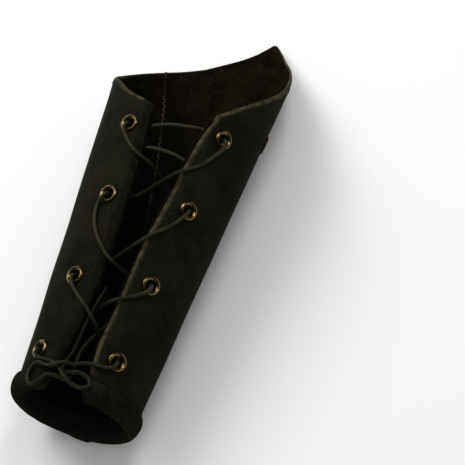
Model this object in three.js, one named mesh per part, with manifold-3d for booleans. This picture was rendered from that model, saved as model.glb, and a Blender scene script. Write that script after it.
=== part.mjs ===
// Leather bracer for the left forearm, laced along one side, lying on its outer face.
// Millimetres. +Y runs from the wrist to the elbow, +Z is up and the part rests on the plane Z = 0.
// Places on the bracer are given on its cone: "arc" is the way round from the photographed front line, measured
// along the leather (to the right is positive), "height" is the way along the axis from the leather's cut wrist
// edge, and "lift" is the distance out from the leather's grain face.
import * as THREE from "three";
import { mergeVertices } from "three/addons/utils/BufferGeometryUtils.js";
import Module from "manifold-3d";

const wasm = await Module();
wasm.setup();

// The cone
const WRIST_RADIUS = 34.6; // of the grain face at height 0
const ELBOW_RADIUS = 50.2; // of the grain face at TAPER_HEIGHT
const TAPER_HEIGHT = 230;
const FRONT_FROM_TOP = 14; // degrees from straight up to the front line that arcs start from

// Walls
const LEATHER = 2.4;
const LINING = 1.2;
const GAP = 0.3; // between pieces that touch
const LINING_IN = LEATHER + GAP + LINING; // from the grain face to the suede's face
const LINING_BELOW_RIM = 1.2;
const LINING_PAST_SLIT = 1.4; // the suede shows past the leather's slit edges
const WRAP_COLUMNS = 38;
const SHELL_ROWS = 10;
const LINING_ROWS = 6;

// The elbow rim: heights of the cut edge to both sides of the peak
const PEAK_FROM_FRONT = 139; // degrees round to the right
const RIM_NEAR_SIDE = [
  { fromPeak: 0, height: 262 },
  { fromPeak: 4, height: 259 },
  { fromPeak: 16, height: 248.5 },
  { fromPeak: 34, height: 235 },
  { fromPeak: 47, height: 223.5 },
  { fromPeak: 61, height: 210 },
  { fromPeak: 80, height: 195.5 },
  { fromPeak: 97, height: 183 },
  { fromPeak: 110, height: 172.5 },
  { fromPeak: 122, height: 163 },
];
const RIM_FAR_SIDE = [
  { fromPeak: 0, height: 262 },
  { fromPeak: 5, height: 258.8 },
  { fromPeak: 17, height: 250.5 },
  { fromPeak: 35, height: 240 },
  { fromPeak: 53, height: 230.5 },
  { fromPeak: 81, height: 215 },
  { fromPeak: 114, height: 196 },
  { fromPeak: 154, height: 177.5 },
  { fromPeak: 173, height: 168 },
  { fromPeak: 197, height: 161 },
];

// The slit: where the two flaps' edges run
const SLIT_EDGES = [
  { height: -13, left: -22, right: 2.5 },
  { height: 0, left: -19, right: 2 },
  { height: 20, left: -15.2, right: 1 },
  { height: 45, left: -12.6, right: 2.6 },
  { height: 83, left: -13.8, right: 4.3 },
  { height: 107, left: -14.8, right: 7.9 },
  { height: 131, left: -17.5, right: 10.4 },
  { height: 149, left: -19.4, right: 13 },
  { height: 164, left: -21.6, right: 17.4 },
];

// The padded roll round the wrist end: its section
const ROLL_SECTION = [
  { lift: -0.2, height: -0.4 },
  { lift: 2, height: -1.7 },
  { lift: 3, height: -4.6 },
  { lift: 2.8, height: -8.4 },
  { lift: 1.4, height: -11.6 },
  { lift: -1.1, height: -12.9 },
  { lift: -3.6, height: -12 },
  { lift: -5.4, height: -9.2 },
  { lift: -5.8, height: -5.4 },
  { lift: -5.2, height: -2 },
  { lift: -3.8, height: -0.4 },
];
const ROLL_MIDDLE = { lift: -1.4, height: -6.4 };
const ROLL_END_SHARE = 0.62; // of the section that is left where the roll's two ends are sewn down
const ROLL_COLUMNS = 38;
const ROLL_PAST_SLIT = 0.6;

// Where it rests: the leather and the roll are pressed flat against the ground
const ROLL_REST_HEIGHT = -6;
const ROLL_REST_RADIUS = 35.9;
const RIM_REST_HEIGHT = 243;
const RIM_REST_RADIUS = 49.3;
const REST_SOFTNESS = 0.3; // half the depth over which the flat runs out into the round

// Brass fittings
const EYELET_ROWS = [
  { row: 1, leftArc: -29.4, leftHeight: 147, rightArc: 26.2, rightHeight: 156 },
  { row: 2, leftArc: -25.2, leftHeight: 103.2, rightArc: 21.3, rightHeight: 109.2 },
  { row: 3, leftArc: -27.1, leftHeight: 54, rightArc: 16.2, rightHeight: 61 },
  { row: 4, leftArc: -33, leftHeight: 10.6, rightArc: 13.6, rightHeight: 14.6 },
];
const EYELET_BORE = 2.8;
const EYELET_BARREL = 3.2;
const EYELET_FLANGE = 5.5;
const EYELET_WASHER = 4.9;
const EYELET_CROWN = 1.3; // height of the rolled flange over the leather
const EYELET_MOUTH = 1; // height where the flange rolls into the bore
const EYELET_LIP = 1.1; // from the bore out to the crown
const FLANGE_EDGE = 0.4; // how far a flange's edge draws in
const WASHER_SEAT = -LINING_IN - 0.7; // washers touch the suede where it curves down to their edges
const WASHER_FACE = WASHER_SEAT - 0.7;
const RIVETS = [
  { name: "rivet_peak", fromPeak: 0, height: 229.5 },
  { name: "rivet_near_side", fromPeak: -45, height: 180.5 },
  { name: "rivet_far_side", fromPeak: 54, height: 193 },
];
const RIVET_DOME = 3.5;
const RIVET_DOME_HEIGHT = 1.2;
const RIVET_FLANGE = 5.6;
const RIVET_RIM = 0.9; // from the dome's foot out to the rim's crown
const RIVET_CROWN = 0.95;
const RIVET_GROOVE = 0.6; // height of the groove round the dome's foot
const RIVET_POST = 1.7;
const RIVET_BACK = 3.4; // its plate is let into the leather's back, under the lining
const RIVET_BACK_THICK = 0.7;
const HOLE_CLEARANCE = 0.3;
const PUNCH_LENGTH = 4 * LINING_IN;
const TURNED_SIDES = 14;

// The lace
const LACE_RADIUS = 1.1;
const LACE_SIDES = 8;
const LACE_STEP = 5.4;
const LACE_LEAN = 0.8; // off the bore's axis where it bends over an eyelet's ends
const LACE_IN_EYELET = [-6.2, -2.4, 2.1]; // lifts where it enters, passes and leaves
const ON_LEATHER = LACE_RADIUS + GAP;
const UNDER_FLAP = -(LINING_IN + LACE_RADIUS + GAP);

const LEATHER_LOOK = { color: 0x1b1812, roughness: 0.5, metalness: 0 };
const SUEDE_LOOK = { color: 0x2a1b13, roughness: 0.95, metalness: 0 };
const BRASS_LOOK = { color: 0x9a7a3c, roughness: 0.35, metalness: 1 };
const LACE_LOOK = { color: 0x211d16, roughness: 0.6, metalness: 0 };

const radians = THREE.MathUtils.degToRad;

// A smooth curve through the rows of a table that never overshoots between two of them.
function through(rows, from, to) {
  const x = rows.map((row) => row[from]);
  const y = rows.map((row) => row[to]);
  const slope = x.slice(1).map((next, i) => (y[i + 1] - y[i]) / (next - x[i]));
  const tangent = x.map((_, i) => {
    if (i === 0) return slope[0];
    if (i === x.length - 1) return slope[i - 1];
    const [before, after] = [slope[i - 1], slope[i]];
    return before * after <= 0 ? 0 : (2 * before * after) / (before + after);
  });
  return (at) => {
    const inside = THREE.MathUtils.clamp(at, x[0], x[x.length - 1]);
    let i = 0;
    while (i < x.length - 2 && inside > x[i + 1]) i += 1;
    const width = x[i + 1] - x[i];
    const s = (inside - x[i]) / width;
    const rise = y[i + 1] - y[i];
    const hermite = tangent[i] * width * s * (1 - s) ** 2 - tangent[i + 1] * width * s * s * (1 - s);
    return y[i] + rise * s * s * (3 - 2 * s) + hermite;
  };
}

const rimNear = through(RIM_NEAR_SIDE, "fromPeak", "height");
const rimFar = through(RIM_FAR_SIDE, "fromPeak", "height");
const slitLeft = through(SLIT_EDGES, "height", "left");
const slitRight = through(SLIT_EDGES, "height", "right");

const TAPER = (ELBOW_RADIUS - WRIST_RADIUS) / TAPER_HEIGHT;
const radiusAt = (height) => WRIST_RADIUS + TAPER * height;
const degreesOf = (arc, height) => THREE.MathUtils.radToDeg(arc / radiusAt(height));

function rimHeight(degrees) {
  const fromPeak = degrees - PEAK_FROM_FRONT;
  return fromPeak < 0 ? rimNear(-fromPeak) : rimFar(fromPeak);
}

// How far below the axis the ground is at a height.
const REST_SLOPE = (RIM_REST_RADIUS - ROLL_REST_RADIUS) / (RIM_REST_HEIGHT - ROLL_REST_HEIGHT);
const groundBelow = (height) => ROLL_REST_RADIUS + REST_SLOPE * (height - ROLL_REST_HEIGHT);

// The larger of z and the ground, with the corner between them eased.
function pressed(z, ground) {
  const above = z - ground;
  if (above > REST_SOFTNESS) return z;
  if (above < -REST_SOFTNESS) return ground;
  return ground + (above + REST_SOFTNESS) ** 2 / (4 * REST_SOFTNESS);
}

// The point at an angle from the front line. A wall moves up as one with its outer face, which is at faceLift.
function place(degrees, height, lift, faceLift = lift) {
  const angle = radians(degrees + FRONT_FROM_TOP);
  const round = (out) => (radiusAt(height) + out) * Math.cos(angle);
  const face = round(faceLift);
  const raised = pressed(face, -groundBelow(height)) - face;
  return new THREE.Vector3((radiusAt(height) + lift) * Math.sin(angle), height, round(lift) + raised);
}

const placeArc = (arc, height, lift) => place(degreesOf(arc, height), height, lift);

// A closed solid between two grids of points, columns by rows, the first on the outside.
function wallBetween(outer, inner) {
  const columns = outer.length;
  const rows = outer[0].length;
  const positions = [...outer.flat(), ...inner.flat()].flatMap((p) => [p.x, p.y, p.z]);
  const at = (side, i, j) => side * columns * rows + i * rows + j;
  const index = [];
  const quad = (a, b, c, d) => index.push(a, b, c, a, c, d);
  const [right, top] = [columns - 1, rows - 1];
  for (let i = 0; i < right; i += 1) {
    for (let j = 0; j < top; j += 1) {
      quad(at(0, i, j), at(0, i + 1, j), at(0, i + 1, j + 1), at(0, i, j + 1));
      quad(at(1, i, j), at(1, i, j + 1), at(1, i + 1, j + 1), at(1, i + 1, j));
    }
    quad(at(0, i, 0), at(1, i, 0), at(1, i + 1, 0), at(0, i + 1, 0));
    quad(at(0, i, top), at(0, i + 1, top), at(1, i + 1, top), at(1, i, top));
  }
  for (let j = 0; j < top; j += 1) {
    quad(at(0, 0, j), at(0, 0, j + 1), at(1, 0, j + 1), at(1, 0, j));
    quad(at(0, right, j), at(1, right, j), at(1, right, j + 1), at(0, right, j + 1));
  }
  const geometry = new THREE.BufferGeometry();
  geometry.setAttribute("position", new THREE.Float32BufferAttribute(positions, 3));
  geometry.setIndex(index);
  return geometry;
}

// Shares of the way round, from the right flap's edge to the left one's, with one column on the peak.
function wrapShares(columns, start, end) {
  const peakShare = (PEAK_FROM_FRONT - start) / (end - start);
  const before = Math.round(columns * peakShare);
  const shares = [];
  for (let i = 0; i <= before; i += 1) shares.push((peakShare * i) / before);
  for (let i = 1; i <= columns - before; i += 1) {
    shares.push(peakShare + ((1 - peakShare) * i) / (columns - before));
  }
  return shares;
}

// A sheet wrapped round the cone between two lifts, from height 0 to the rim.
function wrappedSheet({ outerLift, innerLift, rows, belowRim, pastSlit }) {
  const edges = (height) => ({
    start: degreesOf(slitRight(height) - pastSlit, height),
    end: 360 + degreesOf(slitLeft(height) + pastSlit, height),
  });
  const columnAt = (share, lift) =>
    Array.from({ length: rows + 1 }, (_, j) => {
      let height = 0;
      let degrees = 0;
      for (let settle = 0; settle < 6; settle += 1) {
        const { start, end } = edges(height);
        degrees = start + (end - start) * share;
        height = (j / rows) * (rimHeight(degrees) - belowRim);
      }
      return place(degrees, height, lift, 0);
    });
  const corner = edges(RIM_NEAR_SIDE[RIM_NEAR_SIDE.length - 1].height);
  const shares = wrapShares(WRAP_COLUMNS, corner.start, corner.end);
  return wallBetween(
    shares.map((share) => columnAt(share, outerLift)),
    shares.map((share) => columnAt(share, innerLift)),
  );
}

function solidOf(geometry) {
  const bare = geometry.index ? geometry.clone() : geometry;
  bare.deleteAttribute("normal");
  bare.deleteAttribute("uv");
  const merged = mergeVertices(bare, 1e-3);
  return new wasm.Manifold(
    new wasm.Mesh({
      numProp: 3,
      vertProperties: merged.getAttribute("position").array,
      triVerts: new Uint32Array(merged.index.array),
    }),
  );
}

function geometryOf(solid) {
  const mesh = solid.getMesh();
  const geometry = new THREE.BufferGeometry();
  geometry.setAttribute("position", new THREE.BufferAttribute(new Float32Array(mesh.vertProperties), 3));
  geometry.setIndex(new THREE.BufferAttribute(new Uint32Array(mesh.triVerts), 1));
  return geometry;
}

// A turned piece's profile is given out from its axis and up from the grain face.
function turned(profile) {
  const points = profile.map(([out, up]) => new THREE.Vector2(out, up));
  return new THREE.LatheGeometry(points, TURNED_SIDES);
}

// Stands a turned piece, whose axis is Y, on the grain face at a place.
function seatMatrix(degrees, height) {
  const foot = place(degrees, height, 0);
  const out = place(degrees, height, 1).sub(foot).setY(-TAPER).normalize();
  const turn = new THREE.Quaternion().setFromUnitVectors(new THREE.Vector3(0, 1, 0), out);
  return new THREE.Matrix4().compose(foot, turn, new THREE.Vector3(1, 1, 1));
}

// Half an eyelet's section, from the crown's mouth down the bore, round the washer and up to the crown again.
function eyeletProfile() {
  return [
    [EYELET_BORE, EYELET_MOUTH],
    [EYELET_BORE, WASHER_FACE],
    [EYELET_WASHER, WASHER_FACE],
    [EYELET_WASHER, WASHER_SEAT],
    [EYELET_BARREL, WASHER_SEAT],
    [EYELET_BARREL, GAP],
    [EYELET_FLANGE, GAP],
    [EYELET_FLANGE - FLANGE_EDGE, EYELET_MOUTH],
    [EYELET_BORE + EYELET_LIP, EYELET_CROWN],
    [EYELET_BORE, EYELET_MOUTH],
  ];
}

// Half a rivet's section, from the middle of its back plate up its post, over its rim and groove to the dome.
function rivetProfile() {
  const seat = RIVET_BACK_THICK - LEATHER;
  return [
    [0, -LEATHER],
    [RIVET_BACK, -LEATHER],
    [RIVET_BACK, seat],
    [RIVET_POST, seat],
    [RIVET_POST, GAP],
    [RIVET_FLANGE, GAP],
    [RIVET_FLANGE - FLANGE_EDGE, RIVET_GROOVE],
    [RIVET_DOME + RIVET_RIM, RIVET_CROWN],
    [RIVET_DOME, RIVET_GROOVE],
    [RIVET_DOME * 0.86, RIVET_DOME_HEIGHT * 0.68],
    [RIVET_DOME * 0.5, RIVET_DOME_HEIGHT * 0.94],
    [0, RIVET_DOME_HEIGHT],
  ];
}

const fittings = [];
for (const eyelet of EYELET_ROWS) {
  for (const side of ["left", "right"]) {
    const height = eyelet[side + "Height"];
    fittings.push({
      name: "eyelet_" + side + "_" + eyelet.row,
      degrees: degreesOf(eyelet[side + "Arc"], height),
      height,
      hole: EYELET_BARREL + HOLE_CLEARANCE,
      throughLining: true,
      profile: eyeletProfile(),
    });
  }
}
for (const rivet of RIVETS) {
  fittings.push({
    name: rivet.name,
    degrees: PEAK_FROM_FRONT + rivet.fromPeak,
    height: rivet.height,
    hole: RIVET_POST + HOLE_CLEARANCE,
    recess: RIVET_BACK + HOLE_CLEARANCE,
    throughLining: false,
    profile: rivetProfile(),
  });
}

// A punch for a fitting, from a lift down into the leather.
function punchFor(fitting, radius, fromLift) {
  const punch = new THREE.CylinderGeometry(radius, radius, PUNCH_LENGTH, TURNED_SIDES);
  punch.translate(0, fromLift - PUNCH_LENGTH / 2, 0);
  punch.applyMatrix4(seatMatrix(fitting.degrees, fitting.height));
  return solidOf(punch);
}

// Punches fittings' holes through a wrapped sheet.
function punched(sheet, through) {
  return through.reduce(
    (solid, fitting) => solid.subtract(punchFor(fitting, fitting.hole, PUNCH_LENGTH / 2)),
    solidOf(sheet),
  );
}

function wristRoll() {
  const start = degreesOf(slitRight(ROLL_REST_HEIGHT) - ROLL_PAST_SLIT, 0);
  const end = 360 + degreesOf(slitLeft(ROLL_REST_HEIGHT) + ROLL_PAST_SLIT, 0);
  const positions = [];
  const index = [];
  const around = ROLL_SECTION.length;
  for (let i = 0; i <= ROLL_COLUMNS; i += 1) {
    const degrees = start + ((end - start) * i) / ROLL_COLUMNS;
    const full = i === 0 || i === ROLL_COLUMNS ? ROLL_END_SHARE : 1;
    for (const point of ROLL_SECTION) {
      const lift = ROLL_MIDDLE.lift + (point.lift - ROLL_MIDDLE.lift) * full;
      const height = ROLL_MIDDLE.height + (point.height - ROLL_MIDDLE.height) * full;
      const at = place(degrees, height, lift);
      positions.push(at.x, at.y, at.z);
    }
  }
  for (let i = 0; i < ROLL_COLUMNS; i += 1) {
    for (let j = 0; j < around; j += 1) {
      const next = (j + 1) % around;
      const [a, b] = [i * around + j, i * around + next];
      index.push(a, b, a + around, b, b + around, a + around);
    }
  }
  const last = ROLL_COLUMNS * around;
  for (let j = 1; j < around - 1; j += 1) {
    index.push(0, j + 1, j);
    index.push(last, last + j, last + j + 1);
  }
  const geometry = new THREE.BufferGeometry();
  geometry.setAttribute("position", new THREE.Float32BufferAttribute(positions, 3));
  geometry.setIndex(index);
  return geometry;
}

// The lace's crossings, each from out of one eyelet, over its flap, down through the slit and up the next eyelet.
// Rows are the places that it passes, chosen by hand from the way it lies in the photograph.
const CROSSINGS = {
  left_1_to_right_2: [
    { arc: -30.2, height: 143.2, lift: 3 },
    { arc: -27.5, height: 138.3, lift: ON_LEATHER },
    { arc: -21.1, height: 132, lift: ON_LEATHER },
    { arc: -15.8, height: 128.8, lift: 1.2 },
    { arc: -8.5, height: 126, lift: -1.8 },
    { arc: -1, height: 122.5, lift: -5.2 },
    { arc: 5.5, height: 118.5, lift: -7.4 },
    { arc: 12, height: 114.5, lift: -8.2 },
    { arc: 17.6, height: 111.3, lift: -7.8 },
  ],
  right_1_to_left_2: [
    { arc: 27.1, height: 151.4, lift: 3 },
    { arc: 24.4, height: 145.4, lift: ON_LEATHER },
    { arc: 18, height: 135.6, lift: ON_LEATHER },
    { arc: 12.6, height: 130.2, lift: ON_LEATHER },
    { arc: 8.4, height: 126.6, lift: 0.9 },
    { arc: 2.5, height: 120, lift: -1.8 },
    { arc: -3.7, height: 113.5, lift: -4.6 },
    { arc: -10, height: 108.5, lift: -6.4 },
    { arc: -16.5, height: 105.4, lift: UNDER_FLAP - 0.4 },
    { arc: -21.6, height: 104.1, lift: -7 },
  ],
  left_2_to_right_3: [
    { arc: -26.9, height: 99.4, lift: 3 },
    { arc: -28.6, height: 93.8, lift: ON_LEATHER },
    { arc: -26.6, height: 86, lift: ON_LEATHER },
    { arc: -20.9, height: 76.8, lift: ON_LEATHER },
    { arc: -15.4, height: 70.6, lift: ON_LEATHER },
    { arc: -11, height: 66.9, lift: 0.9 },
    { arc: -4.6, height: 64.4, lift: -2.6 },
    { arc: 1, height: 63.8, lift: -5.4 },
    { arc: 6.6, height: 63.2, lift: -7.8 },
    { arc: 12.2, height: 62.1, lift: -7.6 },
  ],
  right_2_to_left_3: [
    { arc: 19.2, height: 104.6, lift: 3 },
    { arc: 14.3, height: 96, lift: ON_LEATHER },
    { arc: 9.4, height: 90.4, lift: ON_LEATHER },
    { arc: 5, height: 85.4, lift: ON_LEATHER },
    { arc: 0.8, height: 80, lift: -0.2 },
    { arc: -4, height: 74.6, lift: -2.6 },
    { arc: -9, height: 69.6, lift: -4.8 },
    { arc: -14.6, height: 63.4, lift: UNDER_FLAP - 0.4 },
    { arc: -20.4, height: 58.4, lift: -6.4 },
    { arc: -23.8, height: 55.9, lift: -6.8 },
  ],
  left_3_to_right_4: [
    { arc: -26.2, height: 49.6, lift: 3 },
    { arc: -22.4, height: 44.8, lift: ON_LEATHER },
    { arc: -17.6, height: 40.6, lift: ON_LEATHER },
    { arc: -13, height: 36.8, lift: 1.2 },
    { arc: -9, height: 33.2, lift: 0 },
    { arc: -5, height: 29.8, lift: -2.2 },
    { arc: -1, height: 26.4, lift: -5 },
    { arc: 4, height: 22.2, lift: -7 },
    { arc: 9.2, height: 17.8, lift: -7.2 },
  ],
  right_3_to_left_4: [
    { arc: 14.8, height: 56.6, lift: 3 },
    { arc: 9.8, height: 51.6, lift: ON_LEATHER },
    { arc: 4.6, height: 48.2, lift: ON_LEATHER },
    { arc: 0.6, height: 45.4, lift: 1 },
    { arc: -4.2, height: 42, lift: -2.4 },
    { arc: -8.6, height: 38.4, lift: -4.8 },
    { arc: -14, height: 33, lift: -6.4 },
    { arc: -20, height: 25.5, lift: -6.6 },
    { arc: -26, height: 18, lift: -6.8 },
    { arc: -30, height: 13.4, lift: -7 },
  ],
};

// The first bar, inside between the top eyelets.
const TOP_BAR = [
  { arc: -25.2, height: 148.4, lift: -7.4 },
  { arc: -16, height: 151.8, lift: -8 },
  { arc: -6, height: 154.8, lift: -9.4 },
  { arc: 5, height: 157, lift: -9.6 },
  { arc: 14.5, height: 158.6, lift: -8.6 },
  { arc: 22, height: 157.2, lift: -7.4 },
];

// From the bottom left eyelet: into the knot, round the right loop, through the knot and up the slit as a tail.
const RIGHT_LOOP_AND_TAIL = [
  { arc: -32.4, height: 6.8, lift: 3 },
  { arc: -29, height: 4.6, lift: 2.4 },
  { arc: -23, height: 3.8, lift: ON_LEATHER },
  { arc: -17, height: 2.2, lift: 2.6 },
  { arc: -13.2, height: -0.4, lift: 4.4 },
  { arc: -9.4, height: -4.4, lift: 4.8 },
  { arc: -4.4, height: -7.4, lift: 4.8 },
  { arc: 0.6, height: -7.6, lift: 4.6 },
  { arc: 3.4, height: -4.4, lift: 4.4 },
  { arc: 1.4, height: -0.8, lift: 3.4 },
  { arc: -3.6, height: 0.4, lift: 2.6 },
  { arc: -8.6, height: -0.6, lift: 1.2 },
  { arc: -12.6, height: -0.2, lift: -0.6 },
  { arc: -13.4, height: 4.6, lift: -1.4 },
  { arc: -11.6, height: 10.4, lift: -1.6 },
  { arc: -11, height: 17, lift: -2 },
  { arc: -10.8, height: 24.4, lift: -2.4 },
  { arc: -10.4, height: 31, lift: -2.6 },
  { arc: -9.2, height: 37.4, lift: -2.1 },
  { arc: -7.8, height: 44.4, lift: -1.4 },
  { arc: -6.4, height: 51.4, lift: -1.2 },
];

// From the bottom right eyelet: into the knot, round the left loop, over the knot and up behind the right flap,
// where it lies between the suede and the crossings, then across as the second bar and behind the left flap.
const LEFT_LOOP_AND_BAR = [
  { arc: 12, height: 10.6, lift: 3 },
  { arc: 8, height: 8.2, lift: 2 },
  { arc: 2.6, height: 7.8, lift: ON_LEATHER },
  { arc: -2.4, height: 6.4, lift: 1.8 },
  { arc: -7.2, height: 3.6, lift: 2.8 },
  { arc: -11.6, height: 2.2, lift: 6 },
  { arc: -15.8, height: -0.6, lift: 6.8 },
  { arc: -20.4, height: -0.6, lift: 5.4 },
  { arc: -25, height: 0.4, lift: 4.9 },
  { arc: -28.4, height: -2.8, lift: 4.7 },
  { arc: -28.6, height: -8, lift: 4.7 },
  { arc: -25.4, height: -11.8, lift: 4.4 },
  { arc: -21.4, height: -9.4, lift: 4.6 },
  { arc: -18.6, height: -5.4, lift: 4.4 },
  { arc: -14.4, height: -4.2, lift: 2 },
  { arc: -9.6, height: -4.6, lift: 0.6 },
  { arc: -6.8, height: -0.8, lift: -1.2 },
  { arc: -7, height: 5, lift: -1.2 },
  { arc: -7.4, height: 11, lift: -1.8 },
  { arc: -6.8, height: 17, lift: -3.4 },
  { arc: -5, height: 22.6, lift: -5.8 },
  { arc: -2, height: 28.4, lift: -7.5 },
  { arc: 1.8, height: 34.4, lift: -6.8 },
  { arc: 4.8, height: 41.4, lift: -5.7 },
  { arc: 7.2, height: 50, lift: UNDER_FLAP },
  { arc: 8.6, height: 62.8, lift: UNDER_FLAP },
  { arc: 9.6, height: 76, lift: UNDER_FLAP },
  { arc: 11, height: 90, lift: UNDER_FLAP },
  { arc: 12.4, height: 103, lift: UNDER_FLAP },
  { arc: 13.6, height: 115, lift: UNDER_FLAP },
  { arc: 15.6, height: 125.6, lift: UNDER_FLAP },
  { arc: 15.6, height: 132.6, lift: UNDER_FLAP - 0.2 },
  { arc: 11.4, height: 136.2, lift: -6.2 },
  { arc: 4, height: 137.6, lift: -7.6 },
  { arc: -5, height: 138, lift: -8 },
  { arc: -13, height: 137.4, lift: -7 },
  { arc: -20, height: 136.4, lift: UNDER_FLAP - 0.2 },
  { arc: -26.4, height: 136.6, lift: UNDER_FLAP },
];

// Up through an eyelet from inside to out, leaning in the bore towards where the lace comes from and goes to.
function upThrough(side, row, before, after) {
  const eyelet = EYELET_ROWS[row - 1];
  const centre = new THREE.Vector2(eyelet[side + "Arc"], eyelet[side + "Height"]);
  const leaning = (neighbour, lift) => {
    const lean = new THREE.Vector2(neighbour.arc, neighbour.height).sub(centre).setLength(LACE_LEAN);
    return { arc: centre.x + lean.x, height: centre.y + lean.y, lift };
  };
  const [enters, passes, leaves] = LACE_IN_EYELET;
  return [leaning(before, enters), { arc: centre.x, height: centre.y, lift: passes }, leaning(after, leaves)];
}

// Joins stretches of lace that run from eyelet to eyelet, entering each of them from inside.
function threaded(start, eyelets, stretches) {
  const route = [];
  let before = start;
  eyelets.forEach(([side, row], i) => {
    route.push(...upThrough(side, row, before, stretches[i][0]), ...stretches[i]);
    before = route[route.length - 1];
  });
  return route;
}

function laceRoute() {
  const fromLeftTop = threaded(
    TOP_BAR[0],
    [["left", 1], ["right", 2], ["left", 3], ["right", 4]],
    [
      CROSSINGS.left_1_to_right_2,
      CROSSINGS.right_2_to_left_3,
      CROSSINGS.left_3_to_right_4,
      LEFT_LOOP_AND_BAR,
    ],
  );
  const fromRightTop = threaded(
    TOP_BAR[TOP_BAR.length - 1],
    [["right", 1], ["left", 2], ["right", 3], ["left", 4]],
    [
      CROSSINGS.right_1_to_left_2,
      CROSSINGS.left_2_to_right_3,
      CROSSINGS.right_3_to_left_4,
      RIGHT_LOOP_AND_TAIL,
    ],
  );
  return [...fromLeftTop.reverse(), ...TOP_BAR, ...fromRightTop];
}

function laceGeometry() {
  const points = laceRoute().map(({ arc, height, lift }) => placeArc(arc, height, lift));
  const curve = new THREE.CatmullRomCurve3(points, false, "centripetal");
  curve.arcLengthDivisions = points.length * 20;
  const corners = Array.from({ length: LACE_SIDES }, (_, i) => (2 * Math.PI * i) / LACE_SIDES);
  const section = new THREE.Shape(
    corners.map((turn) => new THREE.Vector2(LACE_RADIUS * Math.cos(turn), LACE_RADIUS * Math.sin(turn))),
  );
  return new THREE.ExtrudeGeometry(section, {
    steps: Math.round(curve.getLength() / LACE_STEP),
    bevelEnabled: false,
    extrudePath: curve,
  });
}

const bracer = new THREE.Group();

function addPiece(name, geometry, look) {
  const mesh = new THREE.Mesh(geometry, new THREE.MeshStandardMaterial(look));
  mesh.name = name;
  bracer.add(mesh);
}

const shell = wrappedSheet({
  outerLift: 0,
  innerLift: -LEATHER,
  rows: SHELL_ROWS,
  belowRim: 0,
  pastSlit: 0,
});
const riveted = fittings.filter((fitting) => fitting.recess);
const leather = riveted.reduce(
  (solid, rivet) => solid.subtract(punchFor(rivet, rivet.recess, RIVET_BACK_THICK + GAP - LEATHER)),
  punched(shell, fittings),
);
addPiece("leather_shell", geometryOf(leather), LEATHER_LOOK);

const lining = wrappedSheet({
  outerLift: -LEATHER - GAP,
  innerLift: -LINING_IN,
  rows: LINING_ROWS,
  belowRim: LINING_BELOW_RIM,
  pastSlit: LINING_PAST_SLIT,
});
const throughLining = fittings.filter((fitting) => fitting.throughLining);
addPiece("suede_lining", geometryOf(punched(lining, throughLining)), SUEDE_LOOK);

addPiece("wrist_binding", wristRoll(), SUEDE_LOOK);

for (const fitting of fittings) {
  const geometry = turned(fitting.profile);
  geometry.applyMatrix4(seatMatrix(fitting.degrees, fitting.height));
  addPiece(fitting.name, geometry, BRASS_LOOK);
}

addPiece("lace", laceGeometry(), LACE_LOOK);

// Lays the bracer down on its flats and centres it over the origin.
bracer.rotation.x = Math.atan(REST_SLOPE);
bracer.updateMatrixWorld(true);
const box = new THREE.Box3().setFromObject(bracer, true);
bracer.position.set(-(box.min.x + box.max.x) / 2, -(box.min.y + box.max.y) / 2, -box.min.z);
bracer.updateMatrixWorld(true);

export default bracer;
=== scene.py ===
"""A laced leather bracer for the left forearm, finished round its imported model.

The tables are in millimetres on the unrolled bracer. Arc runs round the leather from its front line, to
the right. Height runs from the leather's cut wrist edge towards the elbow. Lift stands out from the
grain face.
"""

import logging
import math
from dataclasses import dataclass
from enum import Enum
from typing import NamedTuple, Sequence

import bpy
import numpy as np
from mathutils import Matrix, Vector


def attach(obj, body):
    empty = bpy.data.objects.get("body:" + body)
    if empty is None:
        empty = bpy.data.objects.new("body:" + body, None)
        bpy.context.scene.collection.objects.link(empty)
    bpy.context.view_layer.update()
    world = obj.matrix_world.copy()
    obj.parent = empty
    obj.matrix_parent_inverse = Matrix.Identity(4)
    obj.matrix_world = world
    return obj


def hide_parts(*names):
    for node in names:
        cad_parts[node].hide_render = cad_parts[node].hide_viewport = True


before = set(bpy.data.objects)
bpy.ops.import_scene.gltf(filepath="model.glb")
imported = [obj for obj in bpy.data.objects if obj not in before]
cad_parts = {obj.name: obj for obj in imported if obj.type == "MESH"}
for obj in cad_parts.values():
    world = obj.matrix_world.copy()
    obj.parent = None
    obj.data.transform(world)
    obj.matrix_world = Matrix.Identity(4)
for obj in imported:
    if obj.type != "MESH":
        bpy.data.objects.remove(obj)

log = logging.getLogger("bracer")

Array = np.ndarray
Colour = tuple[float, float, float]
Mesh = tuple[Array, list[list[int]]]  # points and faces

MM = 0.001
LEATHER_THICK = 2.4
LINING_BACK = -3.9  # lift of the lining's inner face


class Side(Enum):
    """The two flaps beside the slit."""

    LEFT = "left"
    RIGHT = "right"


class Slot(Enum):
    """The record's material slots."""

    LEATHER = "armour_leather"
    SUEDE = "suede"
    BRASS = "brass"
    LACE = "lace_leather"


class RimRow(NamedTuple):
    """The rim's height at an angle from the peak."""

    from_peak: float
    height: float


class SlitRow(NamedTuple):
    """Where the two flaps' edges are at a height."""

    height: float
    left: float
    right: float


class EyeletRow(NamedTuple):
    """The places of a row's two eyelets."""

    left_arc: float
    left_height: float
    right_arc: float
    right_height: float

    def place(self, side: Side) -> tuple[float, float]:
        """Gives the arc and the height of the eyelet on a side."""
        return (self.left_arc, self.left_height) if side is Side.LEFT else (self.right_arc, self.right_height)


class RivetRow(NamedTuple):
    """A rivet's place."""

    node: str
    from_peak: float
    height: float


class ProfileRow(NamedTuple):
    """A point of a turned section: how far out from its axis, how high on the leather, how rubbed."""

    out: float
    up: float
    rubbed_and_lit: float


class Spot(NamedTuple):
    """A place on the bracer."""

    arc: float
    height: float
    lift: float


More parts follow.
